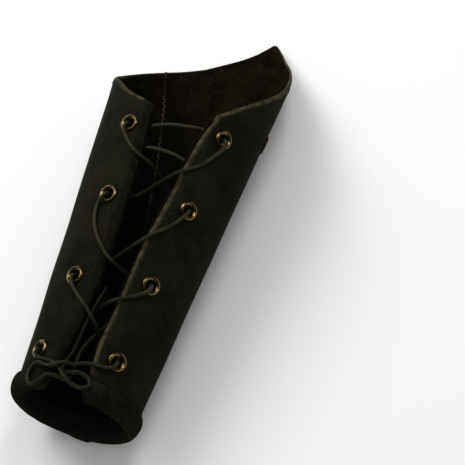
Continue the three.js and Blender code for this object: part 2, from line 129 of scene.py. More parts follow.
RIM_NEAR_SIDE = (
    RimRow(0, 262),
    RimRow(4, 259),
    RimRow(16, 248.5),
    RimRow(34, 235),
    RimRow(47, 223.5),
    RimRow(61, 210),
    RimRow(80, 195.5),
    RimRow(97, 183),
    RimRow(110, 172.5),
    RimRow(122, 163),
)
RIM_FAR_SIDE = (
    RimRow(0, 262),
    RimRow(5, 258.8),
    RimRow(17, 250.5),
    RimRow(35, 240),
    RimRow(53, 230.5),
    RimRow(81, 215),
    RimRow(114, 196),
    RimRow(154, 177.5),
    RimRow(173, 168),
    RimRow(197, 161),
)
SLIT = (
    SlitRow(-13, -22, 2.5),
    SlitRow(0, -19, 2),
    SlitRow(20, -15.2, 1),
    SlitRow(45, -12.6, 2.6),
    SlitRow(83, -13.8, 4.3),
    SlitRow(107, -14.8, 7.9),
    SlitRow(131, -17.5, 10.4),
    SlitRow(149, -19.4, 13),
    SlitRow(164, -21.6, 17.4),
)
EYELETS = (
    EyeletRow(-29.4, 147, 26.2, 156),
    EyeletRow(-25.2, 103.2, 21.3, 109.2),
    EyeletRow(-27.1, 54, 16.2, 61),
    EyeletRow(-33, 10.6, 13.6, 14.6),
)
RIVETS = (
    RivetRow("rivet_peak", 0, 229.5),
    RivetRow("rivet_near_side", -45, 180.5),
    RivetRow("rivet_far_side", 54, 193),
)
EYELET_RIM = (
    ProfileRow(2.8, -0.9, 0.1),
    ProfileRow(2.86, -0.25, 0.35),
    ProfileRow(3.02, 0.2, 0.55),
    ProfileRow(3.25, 0.52, 0.7),
    ProfileRow(3.5, 0.76, 0.85),
    ProfileRow(3.75, 0.94, 0.95),
    ProfileRow(4.0, 1.1, 1.0),
    ProfileRow(4.18, 1.21, 1.0),
    ProfileRow(4.35, 1.25, 1.0),
    ProfileRow(4.52, 1.21, 1.0),
    ProfileRow(4.7, 1.1, 0.95),
    ProfileRow(4.94, 0.94, 0.85),
    ProfileRow(5.17, 0.76, 0.65),
    ProfileRow(5.35, 0.5, 0.4),
    ProfileRow(5.46, 0.15, 0.1),
    ProfileRow(5.5, -0.2, 0.0),
)


def ease(low: float, high: float, at: Array) -> Array:
    """Rises smoothly from 0 at low to 1 at high.

    Args:
        low: Where it starts to rise.
        high: Where it is 1.
        at: The values to ease.

    Returns:
        The eased values.
    """
    share = np.clip((np.asarray(at, float) - low) / (high - low), 0.0, 1.0)
    return share * share * (3.0 - 2.0 * share)


def run_along(points: Array, power: float = 1.0) -> Array:
    """Adds up the steps along a line's points.

    Args:
        points: The points.
        power: The power that each step is raised to.

    Returns:
        The sum up to each point, from 0.
    """
    steps = np.linalg.norm(np.diff(points, axis=0), axis=1) ** power
    return np.concatenate([[0], np.cumsum(steps)])


def unit(vectors: Array) -> Array:
    """Scales vectors to length 1."""
    return vectors / np.linalg.norm(vectors, axis=-1, keepdims=True)


def ring_faces(rings: int, sides: int) -> Array:
    """Joins each ring of points to the next one.

    Args:
        rings: How many rings there are.
        sides: How many points each has.

    Returns:
        The faces.
    """
    ring = np.arange(sides)
    start = (np.arange(rings - 1) * sides)[:, None]
    near, following = start + ring, start + (ring + 1) % sides
    return np.stack([near, following, following + sides, near + sides], axis=-1).reshape(-1, 4)


class SmoothTable:
    """A smooth curve through a short table's rows that never overshoots between two of them."""

    def __init__(self, at: Sequence[float], values: Sequence[float]) -> None:
        """Works out the curve's slopes.

        Args:
            at: The rows' places, rising.
            values: The rows' values.
        """
        self.x = np.asarray(at, float)
        self.y = np.asarray(values, float)
        slope = np.diff(self.y) / np.diff(self.x)
        before, after = slope[:-1], slope[1:]
        level = before * after <= 0
        safe = np.where(level, 1.0, before + after)
        inner = np.where(level, 0.0, 2.0 * before * after / safe)
        self.tangent = np.concatenate([slope[:1], inner, slope[-1:]])

    def __call__(self, at: Array) -> Array:
        """Reads the curve.

        Args:
            at: The places to read it at.

        Returns:
            Its values there.
        """
        inside = np.clip(np.asarray(at, float), self.x[0], self.x[-1])
        i = np.clip(np.searchsorted(self.x, inside, side="right") - 1, 0, len(self.x) - 2)
        width = self.x[i + 1] - self.x[i]
        s = (inside - self.x[i]) / width
        rise = self.y[i + 1] - self.y[i]
        bend = self.tangent[i] * s * (1 - s) ** 2 - self.tangent[i + 1] * s * s * (1 - s)
        return self.y[i] + rise * s * s * (3 - 2 * s) + bend * width


@dataclass(frozen=True)
class Ripple:
    """Seeded waves that make hand-made surfaces uneven."""

    seed: int
    shortest: float
    longest: float
    waves: int = 9

    def __call__(self, x: Array, y: Array) -> Array:
        """Adds the waves up.

        Args:
            x: Places in millimetres.
            y: Places in millimetres, the other way.

        Returns:
            Heights that mostly lie between -1 and 1.
        """
        draw = np.random.default_rng(self.seed)
        total = np.zeros(np.broadcast(x, y).shape)
        for _ in range(self.waves):
            length = draw.uniform(self.shortest, self.longest)
            heading = draw.uniform(0, math.tau)
            start = draw.uniform(0, math.tau)
            along = np.asarray(x) * math.cos(heading) + np.asarray(y) * math.sin(heading)
            total = total + np.sin(along * math.tau / length + start)
        return total / math.sqrt(self.waves)


@dataclass(frozen=True)
class Cone:
    """The tapered tube that the bracer is wrapped to, as it lies on the ground."""

    wrist_radius: float = 34.6
    elbow_radius: float = 50.2
    taper_height: float = 230.0
    front_from_top: float = 14.0
    roll_rest_height: float = -6.0
    roll_rest_radius: float = 35.9
    rim_rest_height: float = 243.0
    rim_rest_radius: float = 49.3
    rest_softness: float = 0.3
    wrist_x: float = -0.51
    wrist_y: float = -124.73

    @property
    def taper(self) -> float:
        """Radius gained for each millimetre of height."""
        return (self.elbow_radius - self.wrist_radius) / self.taper_height

    @property
    def rest_slope(self) -> float:
        """Slope of the axis over the ground."""
        rise = self.rim_rest_radius - self.roll_rest_radius
        return rise / (self.rim_rest_height - self.roll_rest_height)

    @property
    def tilt(self) -> float:
        """Angle of the axis over the ground, in radians."""
        return math.atan(self.rest_slope)

    @property
    def origin(self) -> Array:
        """Place of the axis at height 0, in millimetres."""
        return np.array([self.wrist_x, self.wrist_y, float(self.ground(0.0)) * math.cos(self.tilt)])

    def radius(self, height: Array) -> Array:
        """Radius of the grain face at a height."""
        return self.wrist_radius + self.taper * np.asarray(height, float)

    def degrees(self, arc: Array, height: Array) -> Array:
        """Degrees round from the front line of an arc at a height."""
        return np.degrees(np.asarray(arc, float) / self.radius(height))

    def arc(self, degrees: Array, height: Array) -> Array:
        """Arc from the front line of degrees at a height."""
        return np.radians(degrees) * self.radius(height)

    def ground(self, height: Array) -> Array:
        """How far the ground is below the axis at a height."""
        return self.roll_rest_radius + self.rest_slope * (np.asarray(height) - self.roll_rest_height)

    def place(self, degrees: Array, height: Array, lift: Array, face: Array | float = 0.0) -> Array:
        """Finds points in the frame. The ground presses a wall up as one with its face.

        Args:
            degrees: Degrees round from the front line.
            height: Heights.
            lift: Lifts.
            face: Lift of the wall's outer face there.

        Returns:
            The points, in metres, with a last axis of 3.
        """
        height = np.asarray(height, float)
        turn = np.radians(np.asarray(degrees, float) + self.front_from_top)
        radius = self.radius(height)
        ground = -self.ground(height)
        outer = (radius + face) * np.cos(turn)
        above = outer - ground
        soft = self.rest_softness
        eased = ground + (above + soft) ** 2 / (4 * soft)
        pressed = np.where(above > soft, outer, np.where(above < -soft, ground, eased))
        x = (radius + lift) * np.sin(turn)
        z = (radius + lift) * np.cos(turn) + pressed - outer
        y = height * math.cos(self.tilt) - z * math.sin(self.tilt)
        z = height * math.sin(self.tilt) + z * math.cos(self.tilt)
        return (np.stack(np.broadcast_arrays(x, y, z), axis=-1) + self.origin) * MM

    def read(self, points: Array) -> tuple[Array, Array, Array]:
        """Finds where points in the frame are on the tube, as if the ground pressed nothing.

        Args:
            points: The points, in metres.

        Returns:
            Their heights, their lifts, and the ways out from the axis.
        """
        x, y, z = (points / MM - self.origin).T
        height = y * math.cos(self.tilt) + z * math.sin(self.tilt)
        across = z * math.cos(self.tilt) - y * math.sin(self.tilt)
        out = np.stack([x, -across * math.sin(self.tilt), across * math.cos(self.tilt)], axis=-1)
        return height, np.hypot(x, across) - self.radius(height), unit(out)


@dataclass(frozen=True)
class Outline:
    """The cut edges of the leather: the elbow rim, the slit and the wrist edge."""

    cone: Cone
    peak_from_front: float = 139.0
    corner_radius: float = 0.8
    rim_near: SmoothTable = SmoothTable(*zip(*RIM_NEAR_SIDE))
    rim_far: SmoothTable = SmoothTable(*zip(*RIM_FAR_SIDE))
    left: SmoothTable = SmoothTable([row.height for row in SLIT], [row.left for row in SLIT])
    right: SmoothTable = SmoothTable([row.height for row in SLIT], [row.right for row in SLIT])

    def rim(self, degrees: Array) -> Array:
        """Height of the rim at degrees round from the front line."""
        from_peak = np.asarray(degrees, float) - self.peak_from_front
        return np.where(from_peak < 0, self.rim_near(-from_peak), self.rim_far(from_peak))

    def span(self, height: Array, past_slit: float = 0.0) -> tuple[Array, Array]:
        """Finds the degrees at which a sheet starts and ends.

        Args:
            height: Heights.
            past_slit: How far the sheet reaches past the leather into the slit.

        Returns:
            The degrees at the right flap's edge, and those at the left flap's, a turn on.
        """
        start = self.cone.degrees(self.right(height) - past_slit, height)
        end = 360.0 + self.cone.degrees(self.left(height) + past_slit, height)
        return start, end

    def from_slit(self, degrees: Array, height: Array) -> tuple[Array, Array]:
        """Finds the arcs from the right flap's edge and from the left flap's, into the leather."""
        start, end = self.span(height)
        return self.cone.arc(degrees - start, height), self.cone.arc(end - degrees, height)

    def below_rim(self, degrees: Array, height: Array) -> Array:
        """Finds about how far places are from the rim's cut edge.

        Args:
            degrees: Degrees round from the front line.
            height: Heights.

        Returns:
            The distances, positive on the leather.
        """
        step = 1.0
        run = self.cone.arc(2 * step, height)
        rise = self.rim(degrees + step) - self.rim(degrees - step)
        return (self.rim(degrees) - height) / np.hypot(1.0, rise / run)

    def from_edge(self, degrees: Array, height: Array) -> Array:
        """Finds about how far a place is from the rim's or the slit's cut edge."""
        right, left = self.from_slit(degrees, height)
        return np.minimum.reduce([right, left, self.below_rim(degrees, height)])


@dataclass(frozen=True)
class Fitting:
    """The place of an eyelet or a rivet, and the holes that it needs. A rivet is covered by the lining."""

    node: str
    degrees: float
    height: float
    hole: float
    through_lining: bool


@dataclass(frozen=True)
class Surface:
    """The worn leather's grain face: the cone with its dents, curled flaps and pressed seats."""

    cone: Cone
    outline: Outline
    fittings: tuple[Fitting, ...]
    left_curl: float = 1.1
    left_curl_top: float = 1.6
    left_curl_top_from: float = 105.0
    left_curl_top_full: float = 150.0
    left_curl_width: float = 7.0
    right_curl: float = 0.7
    right_curl_width: float = 6.0
    most_curl: float = 1.3
    flap_wave: float = 0.2
    flap_wave_length: float = 49.0
    flap_wave_start: float = 0.7
    flap_wave_from: float = 0.1
    rim_flare: float = 0.4
    rim_flare_width: float = 16.0
    rim_flare_even: float = 0.35
    rim_flare_waves: int = 3
    rim_flare_start: float = 0.4
    dents: float = 0.2
    dent_waves: Ripple = Ripple(2, 34.0, 110.0)
    puckers: float = 0.16
    pucker_fade: float = 9.0
    pucker_waves: Ripple = Ripple(5, 5.0, 13.0)
    seat_depth: float = 0.3
    seat_radius: float = 5.2
    seat_fade: float = 3.6

    def relief(self, degrees: Array, height: Array) -> Array:
        """Finds how far the grain face stands off the cone.

        Args:
            degrees: Degrees round from the front line.
            height: Heights.

        Returns:
            Lifts of the grain face.
        """
        degrees, height = np.broadcast_arrays(np.asarray(degrees, float), np.asarray(height, float))
        arc = self.cone.arc(degrees, height)
        from_right, from_left = self.outline.from_slit(degrees, height)
        right = np.clip(1 - from_right / self.right_curl_width, 0, self.most_curl)
        left = np.clip(1 - from_left / self.left_curl_width, 0, self.most_curl)
        top = ease(self.left_curl_top_from, self.left_curl_top_full, height)
        left_depth = self.left_curl + self.left_curl_top * top
        lift = -self.right_curl * right**2 - left_depth * left**2
        wave = np.sin(height * math.tau / self.flap_wave_length + self.flap_wave_start)
        on_flaps = ease(self.flap_wave_from, 1.0, right) + ease(self.flap_wave_from, 1.0, left)
        lift = lift + self.flap_wave * wave * on_flaps
        near_slit = np.exp(-np.minimum(from_right, from_left) / self.pucker_fade)
        lift = lift + self.puckers * near_slit * self.pucker_waves(arc, height)
        to_rim = self.outline.below_rim(degrees, height)
        flare = np.clip(1 - to_rim / self.rim_flare_width, 0, 1) ** 2
        waves = np.sin(np.radians(degrees) * self.rim_flare_waves + self.rim_flare_start)
        flare = flare * (self.rim_flare_even + (1 - self.rim_flare_even) * waves)
        lift = lift + self.rim_flare * flare
        lift = lift + self.dents * self.dent_waves(arc, height)
        return self._seated(lift, degrees, height)

    def _seated(self, lift: Array, degrees: Array, height: Array) -> Array:
        """Presses the leather flat under each fitting.

        Args:
            lift: The lifts before the fittings are pressed on.
            degrees: Degrees round from the front line.
            height: Heights.

        Returns:
            The lifts with the seats pressed in.
        """
        for fitting in self.fittings:
            radius = float(self.cone.radius(fitting.height))
            across = np.radians(degrees - fitting.degrees) * radius
            away = np.hypot(across, height - fitting.height)
            hold = 1 - ease(self.seat_radius, self.seat_radius + self.seat_fade, away)
            flat = across**2 / (2 * radius) - self.seat_depth
            lift = lift * (1 - hold) + (flat + self.seat_level(fitting)) * hold
        return lift

    def seat_level(self, fitting: Fitting) -> float:
        """Lift of the leather at a fitting before it is pressed on."""
        arc = self.cone.arc(fitting.degrees, fitting.height)
        return float(self.dents * self.dent_waves(arc, np.asarray(fitting.height)))

    def point(self, degrees: Array, height: Array, lift: Array | float) -> Array:
        """Finds points at a lift from the worn grain face.

        Args:
            degrees: Degrees round from the front line.
            height: Heights.
            lift: Lifts from the worn grain face.

        Returns:
            The points, in metres.
        """
        relief = self.relief(degrees, height)
        return self.cone.place(degrees, height, relief + lift, relief)

    def seat(self, fitting: Fitting) -> Matrix:
        """Finds the frame of a fitting, with its Z out of the leather.

        Args:
            fitting: The fitting.

        Returns:
            Its matrix, from millimetres to the frame's metres.
        """
        level = self.seat_level(fitting)
        step = math.degrees(1.0 / float(self.cone.radius(fitting.height)))
        here, beside, above = (
            Vector(self.cone.place(fitting.degrees + degrees, fitting.height + height, level, level))
            for degrees, height in ((0, 0), (step, 0), (0, 1))
        )
        out = (beside - here).cross(above - here).normalized()
        along = (above - here).normalized()
        rotation = Matrix((along.cross(out), along, out)).transposed().to_4x4()
        return Matrix.Translation(here) @ rotation @ Matrix.Scale(MM, 4)


def new_object(
    name: str, points: Array, faces: Sequence[Sequence[int]], smooth: bool = True
) -> bpy.types.Object:
    """Makes a mesh object in the scene.

    Args:
        name: The piece's name.
        points: Its points, in metres.
        faces: Its faces.
        smooth: Whether it is shaded smooth.

    Returns:
        The object.
    """
    mesh = bpy.data.meshes.new(name)
    whole = [[int(corner) for corner in face] for face in faces]
    mesh.from_pydata(np.asarray(points, float).reshape(-1, 3).tolist(), [], whole)
    mesh.polygons.foreach_set("use_smooth", [smooth] * len(mesh.polygons))
    mesh.update()
    piece = bpy.data.objects.new(name, mesh)
    bpy.context.scene.collection.objects.link(piece)
    return piece


def set_attribute(piece: bpy.types.Object, name: str, values: Array) -> None:
    """Stores a number for each point of a mesh.

    Args:
        piece: The object.
        name: The attribute's name.
        values: Its values.
    """
    attribute = piece.data.attributes.new(name, "FLOAT", "POINT")
    attribute.data.foreach_set("value", np.asarray(values, np.float32).ravel())


def finish_piece(
    piece: bpy.types.Object,
    materials: Sequence[bpy.types.Material],
    nodes: Sequence[str] = (),
) -> bpy.types.Object:
    """Dresses a piece, sets it on the body and lets it stand for its nodes.

    Args:
        piece: The object.
        materials: Its materials.
        nodes: The nodes that it replaces.

    Returns:
        The object.
    """
    for material in materials:
        piece.data.materials.append(material)
    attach(piece, "root")
    if nodes:
        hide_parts(*nodes)
    log.info("%s: %d faces", piece.name, len(piece.data.polygons))
    return piece


def tubes(paths: Array, ups: Array, radii: Array, sides: int) -> Mesh:
    """Makes closed tubes along paths that all have as many stations.

    Args:
        paths: Centrelines, as tubes by stations by 3.
        ups: Directions that start each ring, of the same shape.
        radii: Radii, as stations, or tubes by stations.
        sides: Sides of each ring.

    Returns:
        The points and the faces of all the tubes.
    """
    count, stations, _ = paths.shape
    ahead = unit(np.gradient(paths, axis=1))
    ups = unit(ups - ahead * np.sum(ups * ahead, axis=-1, keepdims=True))
    across = np.cross(ahead, ups)
    turn = np.arange(sides) * math.tau / sides
    radii = np.broadcast_to(radii, (count, stations))[:, :, None, None]
    ring = ups[:, :, None] * np.cos(turn)[:, None] + across[:, :, None] * np.sin(turn)[:, None]
    points = (paths[:, :, None] + ring * radii).reshape(-1, 3)
    firsts = np.arange(count) * stations * sides
    faces = (ring_faces(stations, sides) + firsts[:, None, None]).reshape(-1, 4).tolist()
    for first in firsts:
        faces.append([first + k for k in reversed(range(sides))])
        faces.append([first + (stations - 1) * sides + k for k in range(sides)])
    return points, faces


@dataclass
class WrappedSheet:
    """A sheet wrapped round the surface, with round cut edges and punched holes."""

    surface: Surface
    name: str
    punches: Sequence[Fitting]
    outer_lift: float
    inner_lift: float
    below_rim: float
    past_slit: float
    edge_round: float
    edge_wander: float
    rows: int
    coarse: float
    fine: float
    fine_width: float = 12.0
    inner_waves: float = 0.0
    waves: Ripple = Ripple(7, 9.0, 30.0)
    wander: Ripple = Ripple(11, 16.0, 60.0)
    bevel_width: float = 2.4
    bevel_drop: float = 0.0
    bevel_curve: float = 1.5
    round_steps: int = 3
    settles: int = 6
    first_height: float = 165.0
    # Painted shade on the lining, darker further into the tube from the elbow end
    inner_shade_strength: float = 0.9
    inner_shade_from: float = 215.0
    inner_shade_full: float = 140.0

    def shares(self) -> Array:
        """Places the columns, close together near the slit, with one on the peak.

        Returns:
            Shares of the way round.
        """
        outline = self.surface.outline
        start, end = outline.span(RIM_NEAR_SIDE[-1].height, self.past_slit)
        around = float(self.surface.cone.arc(end - start, RIM_NEAR_SIDE[-1].height))
        peak = (outline.peak_from_front - float(start)) / float(end - start)
        widths = []
        for length in (peak * around, (1 - peak) * around):
            fine = np.arange(0, self.fine_width, self.fine)
            steps = max(2, round((length - fine[-1]) / self.coarse))
            widths.append(np.concatenate([fine[:-1], np.linspace(fine[-1], length, steps)]))
        near = widths[0] / around
        far = 1 - widths[1][::-1] / around
        return np.concatenate([near, far[1:]])

    def grid(self) -> tuple[Array, Array]:
        """Lays out the grid of points.

        Returns:
            Their degrees and their heights, columns by rows.
        """
        outline = self.surface.outline
        cone = self.surface.cone
        share = self.shares()[:, None]
        up = np.linspace(0, 1, self.rows + 1)[None, :]
        height = self.first_height * up * np.ones_like(share)
        degrees = height
        for _ in range(self.settles):
            start, end = outline.span(height, self.past_slit)
            start = start + cone.degrees(self.edge_wander * self.wander(height, 0.0), height)
            end = end + cone.degrees(self.edge_wander * self.wander(height, 90.0), height)
            degrees = start + (end - start) * share
            to_slit = cone.arc(end - start, height) * np.minimum(share, 1 - share)
            inside = np.clip(outline.corner_radius - to_slit, 0, outline.corner_radius)
            cut = outline.corner_radius - np.sqrt(outline.corner_radius**2 - inside**2)
            top = outline.rim(degrees) - self.below_rim - cut
            top = top + self.edge_wander * self.wander(cone.arc(degrees, top), 40.0)
            height = up * top
        return degrees, height

    def build(self) -> bpy.types.Object:
        """Makes the sheet.

        Returns:
            The object. Its faces have material 0 on the sheet's sides and 1 on its cut edges.
        """
        cone, outline = self.surface.cone, self.surface.outline
        degrees, height = self.grid()
        kept = self._punch(degrees, height)
        starts, ends = self._edges(kept)
        degrees, height = degrees.ravel(), height.ravel()
        out_x, out_y = self._outward(degrees, height, starts, ends)
        rim = np.unique(starts)

        def moved(inset: float) -> tuple[Array, Array]:
            """Draws the cut edges' points into the sheet by an inset."""
            h = height[rim] - out_y[rim] * inset
            return degrees[rim] - cone.degrees(out_x[rim] * inset, h), h

        side_degrees, side_height = degrees.copy(), height.copy()
        side_degrees[rim], side_height[rim] = moved(self.edge_round)
        to_edge = np.clip(outline.from_edge(degrees, height), 0, self.bevel_width)
        outer = self.outer_lift - self.bevel_drop * (1 - to_edge / self.bevel_width) ** self.bevel_curve
        inner = self.inner_lift + self.inner_waves * self.waves(
            cone.arc(side_degrees, side_height), side_height
        )
        layers = [(side_degrees, side_height, outer), (side_degrees, side_height, inner)]
        layers += [(*moved(inset), lift) for inset, lift in self._rings(outer[rim])]
        degrees, height, lift = (np.concatenate(values) for values in zip(*layers))
        faces, slots = self._faces(kept, starts, ends, rim)
        used = np.unique(faces)
        renumber = np.full(len(degrees), -1)
        renumber[used] = np.arange(len(used))
        degrees, height = degrees[used], height[used]
        piece = new_object(self.name, self.surface.point(degrees, height, lift[used]), renumber[faces])
        piece.data.polygons.foreach_set("material_index", slots)
        set_attribute(piece, "from_edge", outline.from_edge(degrees, height) * MM)
        set_attribute(piece, "from_left", outline.from_slit(degrees, height)[1] * MM)
        set_attribute(piece, "around", cone.arc(degrees, height) * MM)
        set_attribute(piece, "up", height * MM)
        # Painted shade further into the tube, read by the suede's colour
        set_attribute(piece, "inner_shade", self.inner_shade_strength * ease(self.inner_shade_from, self.inner_shade_full, height))
        return piece

    @staticmethod
    def _numbers(kept: Array) -> Array:
        """Numbers the grid's points, which are one more each way than its cells."""
        columns, rows = kept.shape
        return np.arange((columns + 1) * (rows + 1)).reshape(columns + 1, rows + 1)

    def _punch(self, degrees: Array, height: Array) -> Array:
        """Takes out the cells in each hole and draws the cells round it to a circle.

        Args:
            degrees: The grid's degrees, which are changed.
            height: The grid's heights, which are changed.

        Returns:
            Which cells are kept.
        """
        cone = self.surface.cone
        kept = np.ones((degrees.shape[0] - 1, degrees.shape[1] - 1), bool)
        for fitting in self.punches:
            x = cone.arc(degrees - fitting.degrees, height)
            y = height - fitting.height
            cx = (x[1:, 1:] + x[:-1, 1:] + x[1:, :-1] + x[:-1, :-1]) / 4
            cy = (y[1:, 1:] + y[:-1, 1:] + y[1:, :-1] + y[:-1, :-1]) / 4
            inside = np.hypot(cx, cy) < fitting.hole
            kept &= ~inside
            padded = np.pad(inside, 1)
            corners = padded[1:, 1:].astype(int) + padded[:-1, 1:] + padded[1:, :-1] + padded[:-1, :-1]
            edge = (corners > 0) & (corners < 4)
            away = np.hypot(x[edge], y[edge])
            out = fitting.hole / np.maximum(away, 1e-6)
            height[edge] = fitting.height + y[edge] * out
            degrees[edge] = fitting.degrees + cone.degrees(x[edge] * out, height[edge])
        return kept

    def _edges(self, kept: Array) -> tuple[Array, Array]:
        """Finds the grid's cut edges, each with the sheet on its right.

        Args:
            kept: Which cells are kept.

        Returns:
            The numbers of the edges' first and last points.
        """
        number = self._numbers(kept)
        across = np.pad(kept, ((1, 1), (0, 0)))
        upward = np.pad(kept, ((0, 0), (1, 1)))
        opens = ~across[:-1] & across[1:]
        closes = across[:-1] & ~across[1:]
        bottoms = ~upward[:, :-1] & upward[:, 1:]
        tops = upward[:, :-1] & ~upward[:, 1:]
        low, high = number[:, :-1], number[:, 1:]
        left, right = number[:-1, :], number[1:, :]
        starts = np.concatenate([low[opens], high[closes], right[bottoms], left[tops]])
        ends = np.concatenate([high[opens], low[closes], left[bottoms], right[tops]])
        return starts, ends

    def _outward(self, degrees: Array, height: Array, starts: Array, ends: Array) -> tuple[Array, Array]:
        """Finds the way out of the sheet at each point of its cut edges.

        Args:
            degrees: The points' degrees.
            height: The points' heights.
            starts: The edges' first points.
            ends: The edges' last points.

        Returns:
            The way out along the arc and along the height, 0 inside the sheet.
        """
        run = self.surface.cone.arc(degrees[ends] - degrees[starts], height[starts])
        rise = height[ends] - height[starts]
        length = np.maximum(np.hypot(run, rise), 1e-6)
        x, y = np.zeros_like(degrees), np.zeros_like(degrees)
        for ids in (starts, ends):
            np.add.at(x, ids, -rise / length)
            np.add.at(y, ids, run / length)
        total = np.maximum(np.hypot(x, y), 1e-6)
        return x / total, y / total

    def _rings(self, outer_lift: Array) -> list[tuple[float, Array]]:
        """Lays out the rings of a round cut edge.

        Args:
            outer_lift: Lifts of the edge's points on the sheet's outer side.

        Returns:
            Each ring's inset and lifts, from the outer side to the inner one.
        """
        turns = [math.pi / 2 * k / self.round_steps for k in range(1, self.round_steps + 1)]
        rounding = [(self.edge_round * (1 - math.sin(t)), self.edge_round * (1 - math.cos(t))) for t in turns]
        inner_lift = np.full_like(outer_lift, self.inner_lift)
        outer = [(inset, outer_lift - drop) for inset, drop in rounding]
        inner = [(inset, inner_lift + drop) for inset, drop in reversed(rounding)]
        return outer + inner

    def _faces(self, kept: Array, starts: Array, ends: Array, rim: Array) -> tuple[Array, Array]:
        """Joins the points up.

        Args:
            kept: Which cells are kept.
            starts: The cut edges' first points.
            ends: The cut edges' last points.
            rim: The numbers of the points on cut edges.

        Returns:
            The faces, and each one's material.
        """
        number = self._numbers(kept)
        count, rings = number.size, 2 * self.round_steps
        cells = [number[:-1, :-1], number[1:, :-1], number[1:, 1:], number[:-1, 1:]]
        outer = np.stack([c[kept] for c in cells], axis=-1)
        inner = outer[:, ::-1] + count
        rank = np.zeros(count, int)
        rank[rim] = np.arange(len(rim))

        def ring(ids: Array, k: int) -> Array:
            """Numbers a cut edge's points on one of its rings.

            Args:
                ids: The edge's points, as the outer side numbers them.
                k: The ring, from 0 for the outer side itself to the last for the inner side.

            Returns:
                Their numbers on the ring.
            """
            if k == 0:
                return ids
            if k == rings + 1:
                return ids + count
            return 2 * count + (k - 1) * len(rim) + rank[ids]

        walls = [
            np.stack([ring(starts, k), ring(ends, k), ring(ends, k + 1), ring(starts, k + 1)], axis=-1)
            for k in range(rings + 1)
        ]
        faces = np.concatenate([outer, inner, *walls])
        slots = np.zeros(len(faces), int)
        slots[len(outer) + len(inner) :] = 1
        return faces, slots


@dataclass
class StitchRow:
    """A row of stitches along a path on the surface."""

    surface: Surface
    base_lift: float
    outward: float = 1.0
    pitch: float = 3.7
    length: float = 2.6
    thread: float = 0.28
    thinned: float = 0.35
    bulge: float = 0.22
    dip: float = 0.42
    pressed: float = 0.02
    hole_share: float = 0.06
    sides: int = 7
    stations: int = 7

    def along(self, degrees: Array, height: Array) -> Mesh:
        """Sews straight stitches along a path.

        Args:
            degrees: The path's degrees.
            height: The path's heights.

        Returns:
            The threads.
        """
        run = self._run(degrees, height)
        count = max(1, int(run[-1] // self.pitch))
        middle = (np.arange(count) + 0.5) * run[-1] / count
        at = middle[:, None] + np.linspace(-0.5, 0.5, self.stations)[None, :] * self.length
        return self._threads(np.interp(at, run, degrees), np.interp(at, run, height))

    def across(self, degrees: Array, height: Array, width: float) -> Mesh:
        """Sews a zigzag along a path.

        Args:
            degrees: The path's degrees.
            height: The path's heights.
            width: The zigzag's width.

        Returns:
            The threads.
        """
        run = self._run(degrees, height)
        leg = np.arange(int(run[-1] // self.pitch))[:, None]
        share = np.linspace(self.hole_share, 1 - self.hole_share, self.stations)[None, :]
        at = (leg + share) * self.pitch
        swing = np.where(leg % 2 == 0, 1.0, -1.0) * (share - 0.5) * width
        middle, level = np.interp(at, run, degrees), np.interp(at, run, height)
        return self._threads(middle + self.surface.cone.degrees(swing, level), level)

    def _run(self, degrees: Array, height: Array) -> Array:
        """Measures along a path, in millimetres."""
        return run_along(self.surface.point(degrees, height, self.base_lift)) / MM

    def _threads(self, degrees: Array, height: Array) -> Mesh:
        """Makes the threads through stations of places.

        Args:
            degrees: Degrees, as stitches by stations.
            height: Heights, of the same shape.

        Returns:
            The threads.
        """
        to_holes = np.linspace(-1, 1, self.stations) ** 4
        lift = self.base_lift + self.outward * (self.bulge - (self.bulge + self.dip) * to_holes)
        paths = self.surface.point(degrees, height, lift)
        above = self.surface.point(degrees, height, lift + 1.0)
        radii = self.thread * MM * (1 - self.thinned * to_holes)
        points, faces = tubes(paths, above - paths, radii, self.sides)
        points[:, 2] = np.maximum(points[:, 2], -self.pressed * MM)
        return points, faces


class Value:
    """A number in a node tree, written as Python arithmetic."""

    def __init__(self, tree: "Tree", socket: bpy.types.NodeSocket) -> None:
        """Wraps a socket.

        Args:
            tree: The tree that it is in.
            socket: The output socket.
        """
        self.tree = tree
        self.socket = socket

    def _maths(self, operation: str, first: "Value | float", second: "Value | float") -> "Value":
        """Adds a Math node.

        Args:
            operation: Its operation.
            first: Its first value.
            second: Its second value.

        Returns:
            What it gives.
        """
        node = self.tree.add("ShaderNodeMath", {"operation": operation}, {0: first, 1: second})
        return Value(self.tree, node.outputs[0])

    def __add__(self, other: "Value | float") -> "Value":
        """Adds."""
        return self._maths("ADD", self, other)

    def __radd__(self, other: float) -> "Value":
        """Adds to a number."""
        return self._maths("ADD", other, self)

    def __sub__(self, other: "Value | float") -> "Value":
        """Takes away."""
        return self._maths("SUBTRACT", self, other)

    def __rsub__(self, other: float) -> "Value":
        """Takes away from a number."""
        return self._maths("SUBTRACT", other, self)

    def __mul__(self, other: "Value | float") -> "Value":
        """Multiplies."""
        return self._maths("MULTIPLY", self, other)

    def __rmul__(self, other: float) -> "Value":
        """Multiplies a number."""
        return self._maths("MULTIPLY", other, self)

    def __truediv__(self, other: "Value | float") -> "Value":
        """Divides."""
        return self._maths("DIVIDE", self, other)

    def __pow__(self, other: float) -> "Value":
        """Raises to a power."""
        return self._maths("POWER", self, other)

    def __abs__(self) -> "Value":
        """Drops the sign."""
        return self._maths("ABSOLUTE", self, 0.0)

    def ease(self, low: float, high: float) -> "Value":
        """Rises smoothly from 0 to 1, or falls as it grows where low is the higher.

        Args:
            low: Where it is 0.
            high: Where it is 1.

        Returns:
            The eased value.
        """
        settings = {"interpolation_type": "SMOOTHSTEP"}
        ends = {"From Min": min(low, high), "From Max": max(low, high)}
        node = self.tree.add("ShaderNodeMapRange", settings, {"Value": self, **ends})
        rising = Value(self.tree, node.outputs[0])
        return rising if low < high else 1 - rising


class Mottle(NamedTuple):
    """A noise: the size of its blotches in millimetres, its finer layers, their strength, its warp."""

    size: float
    detail: float = 2.0
    rough: float = 0.5
    warp: float = 0.0


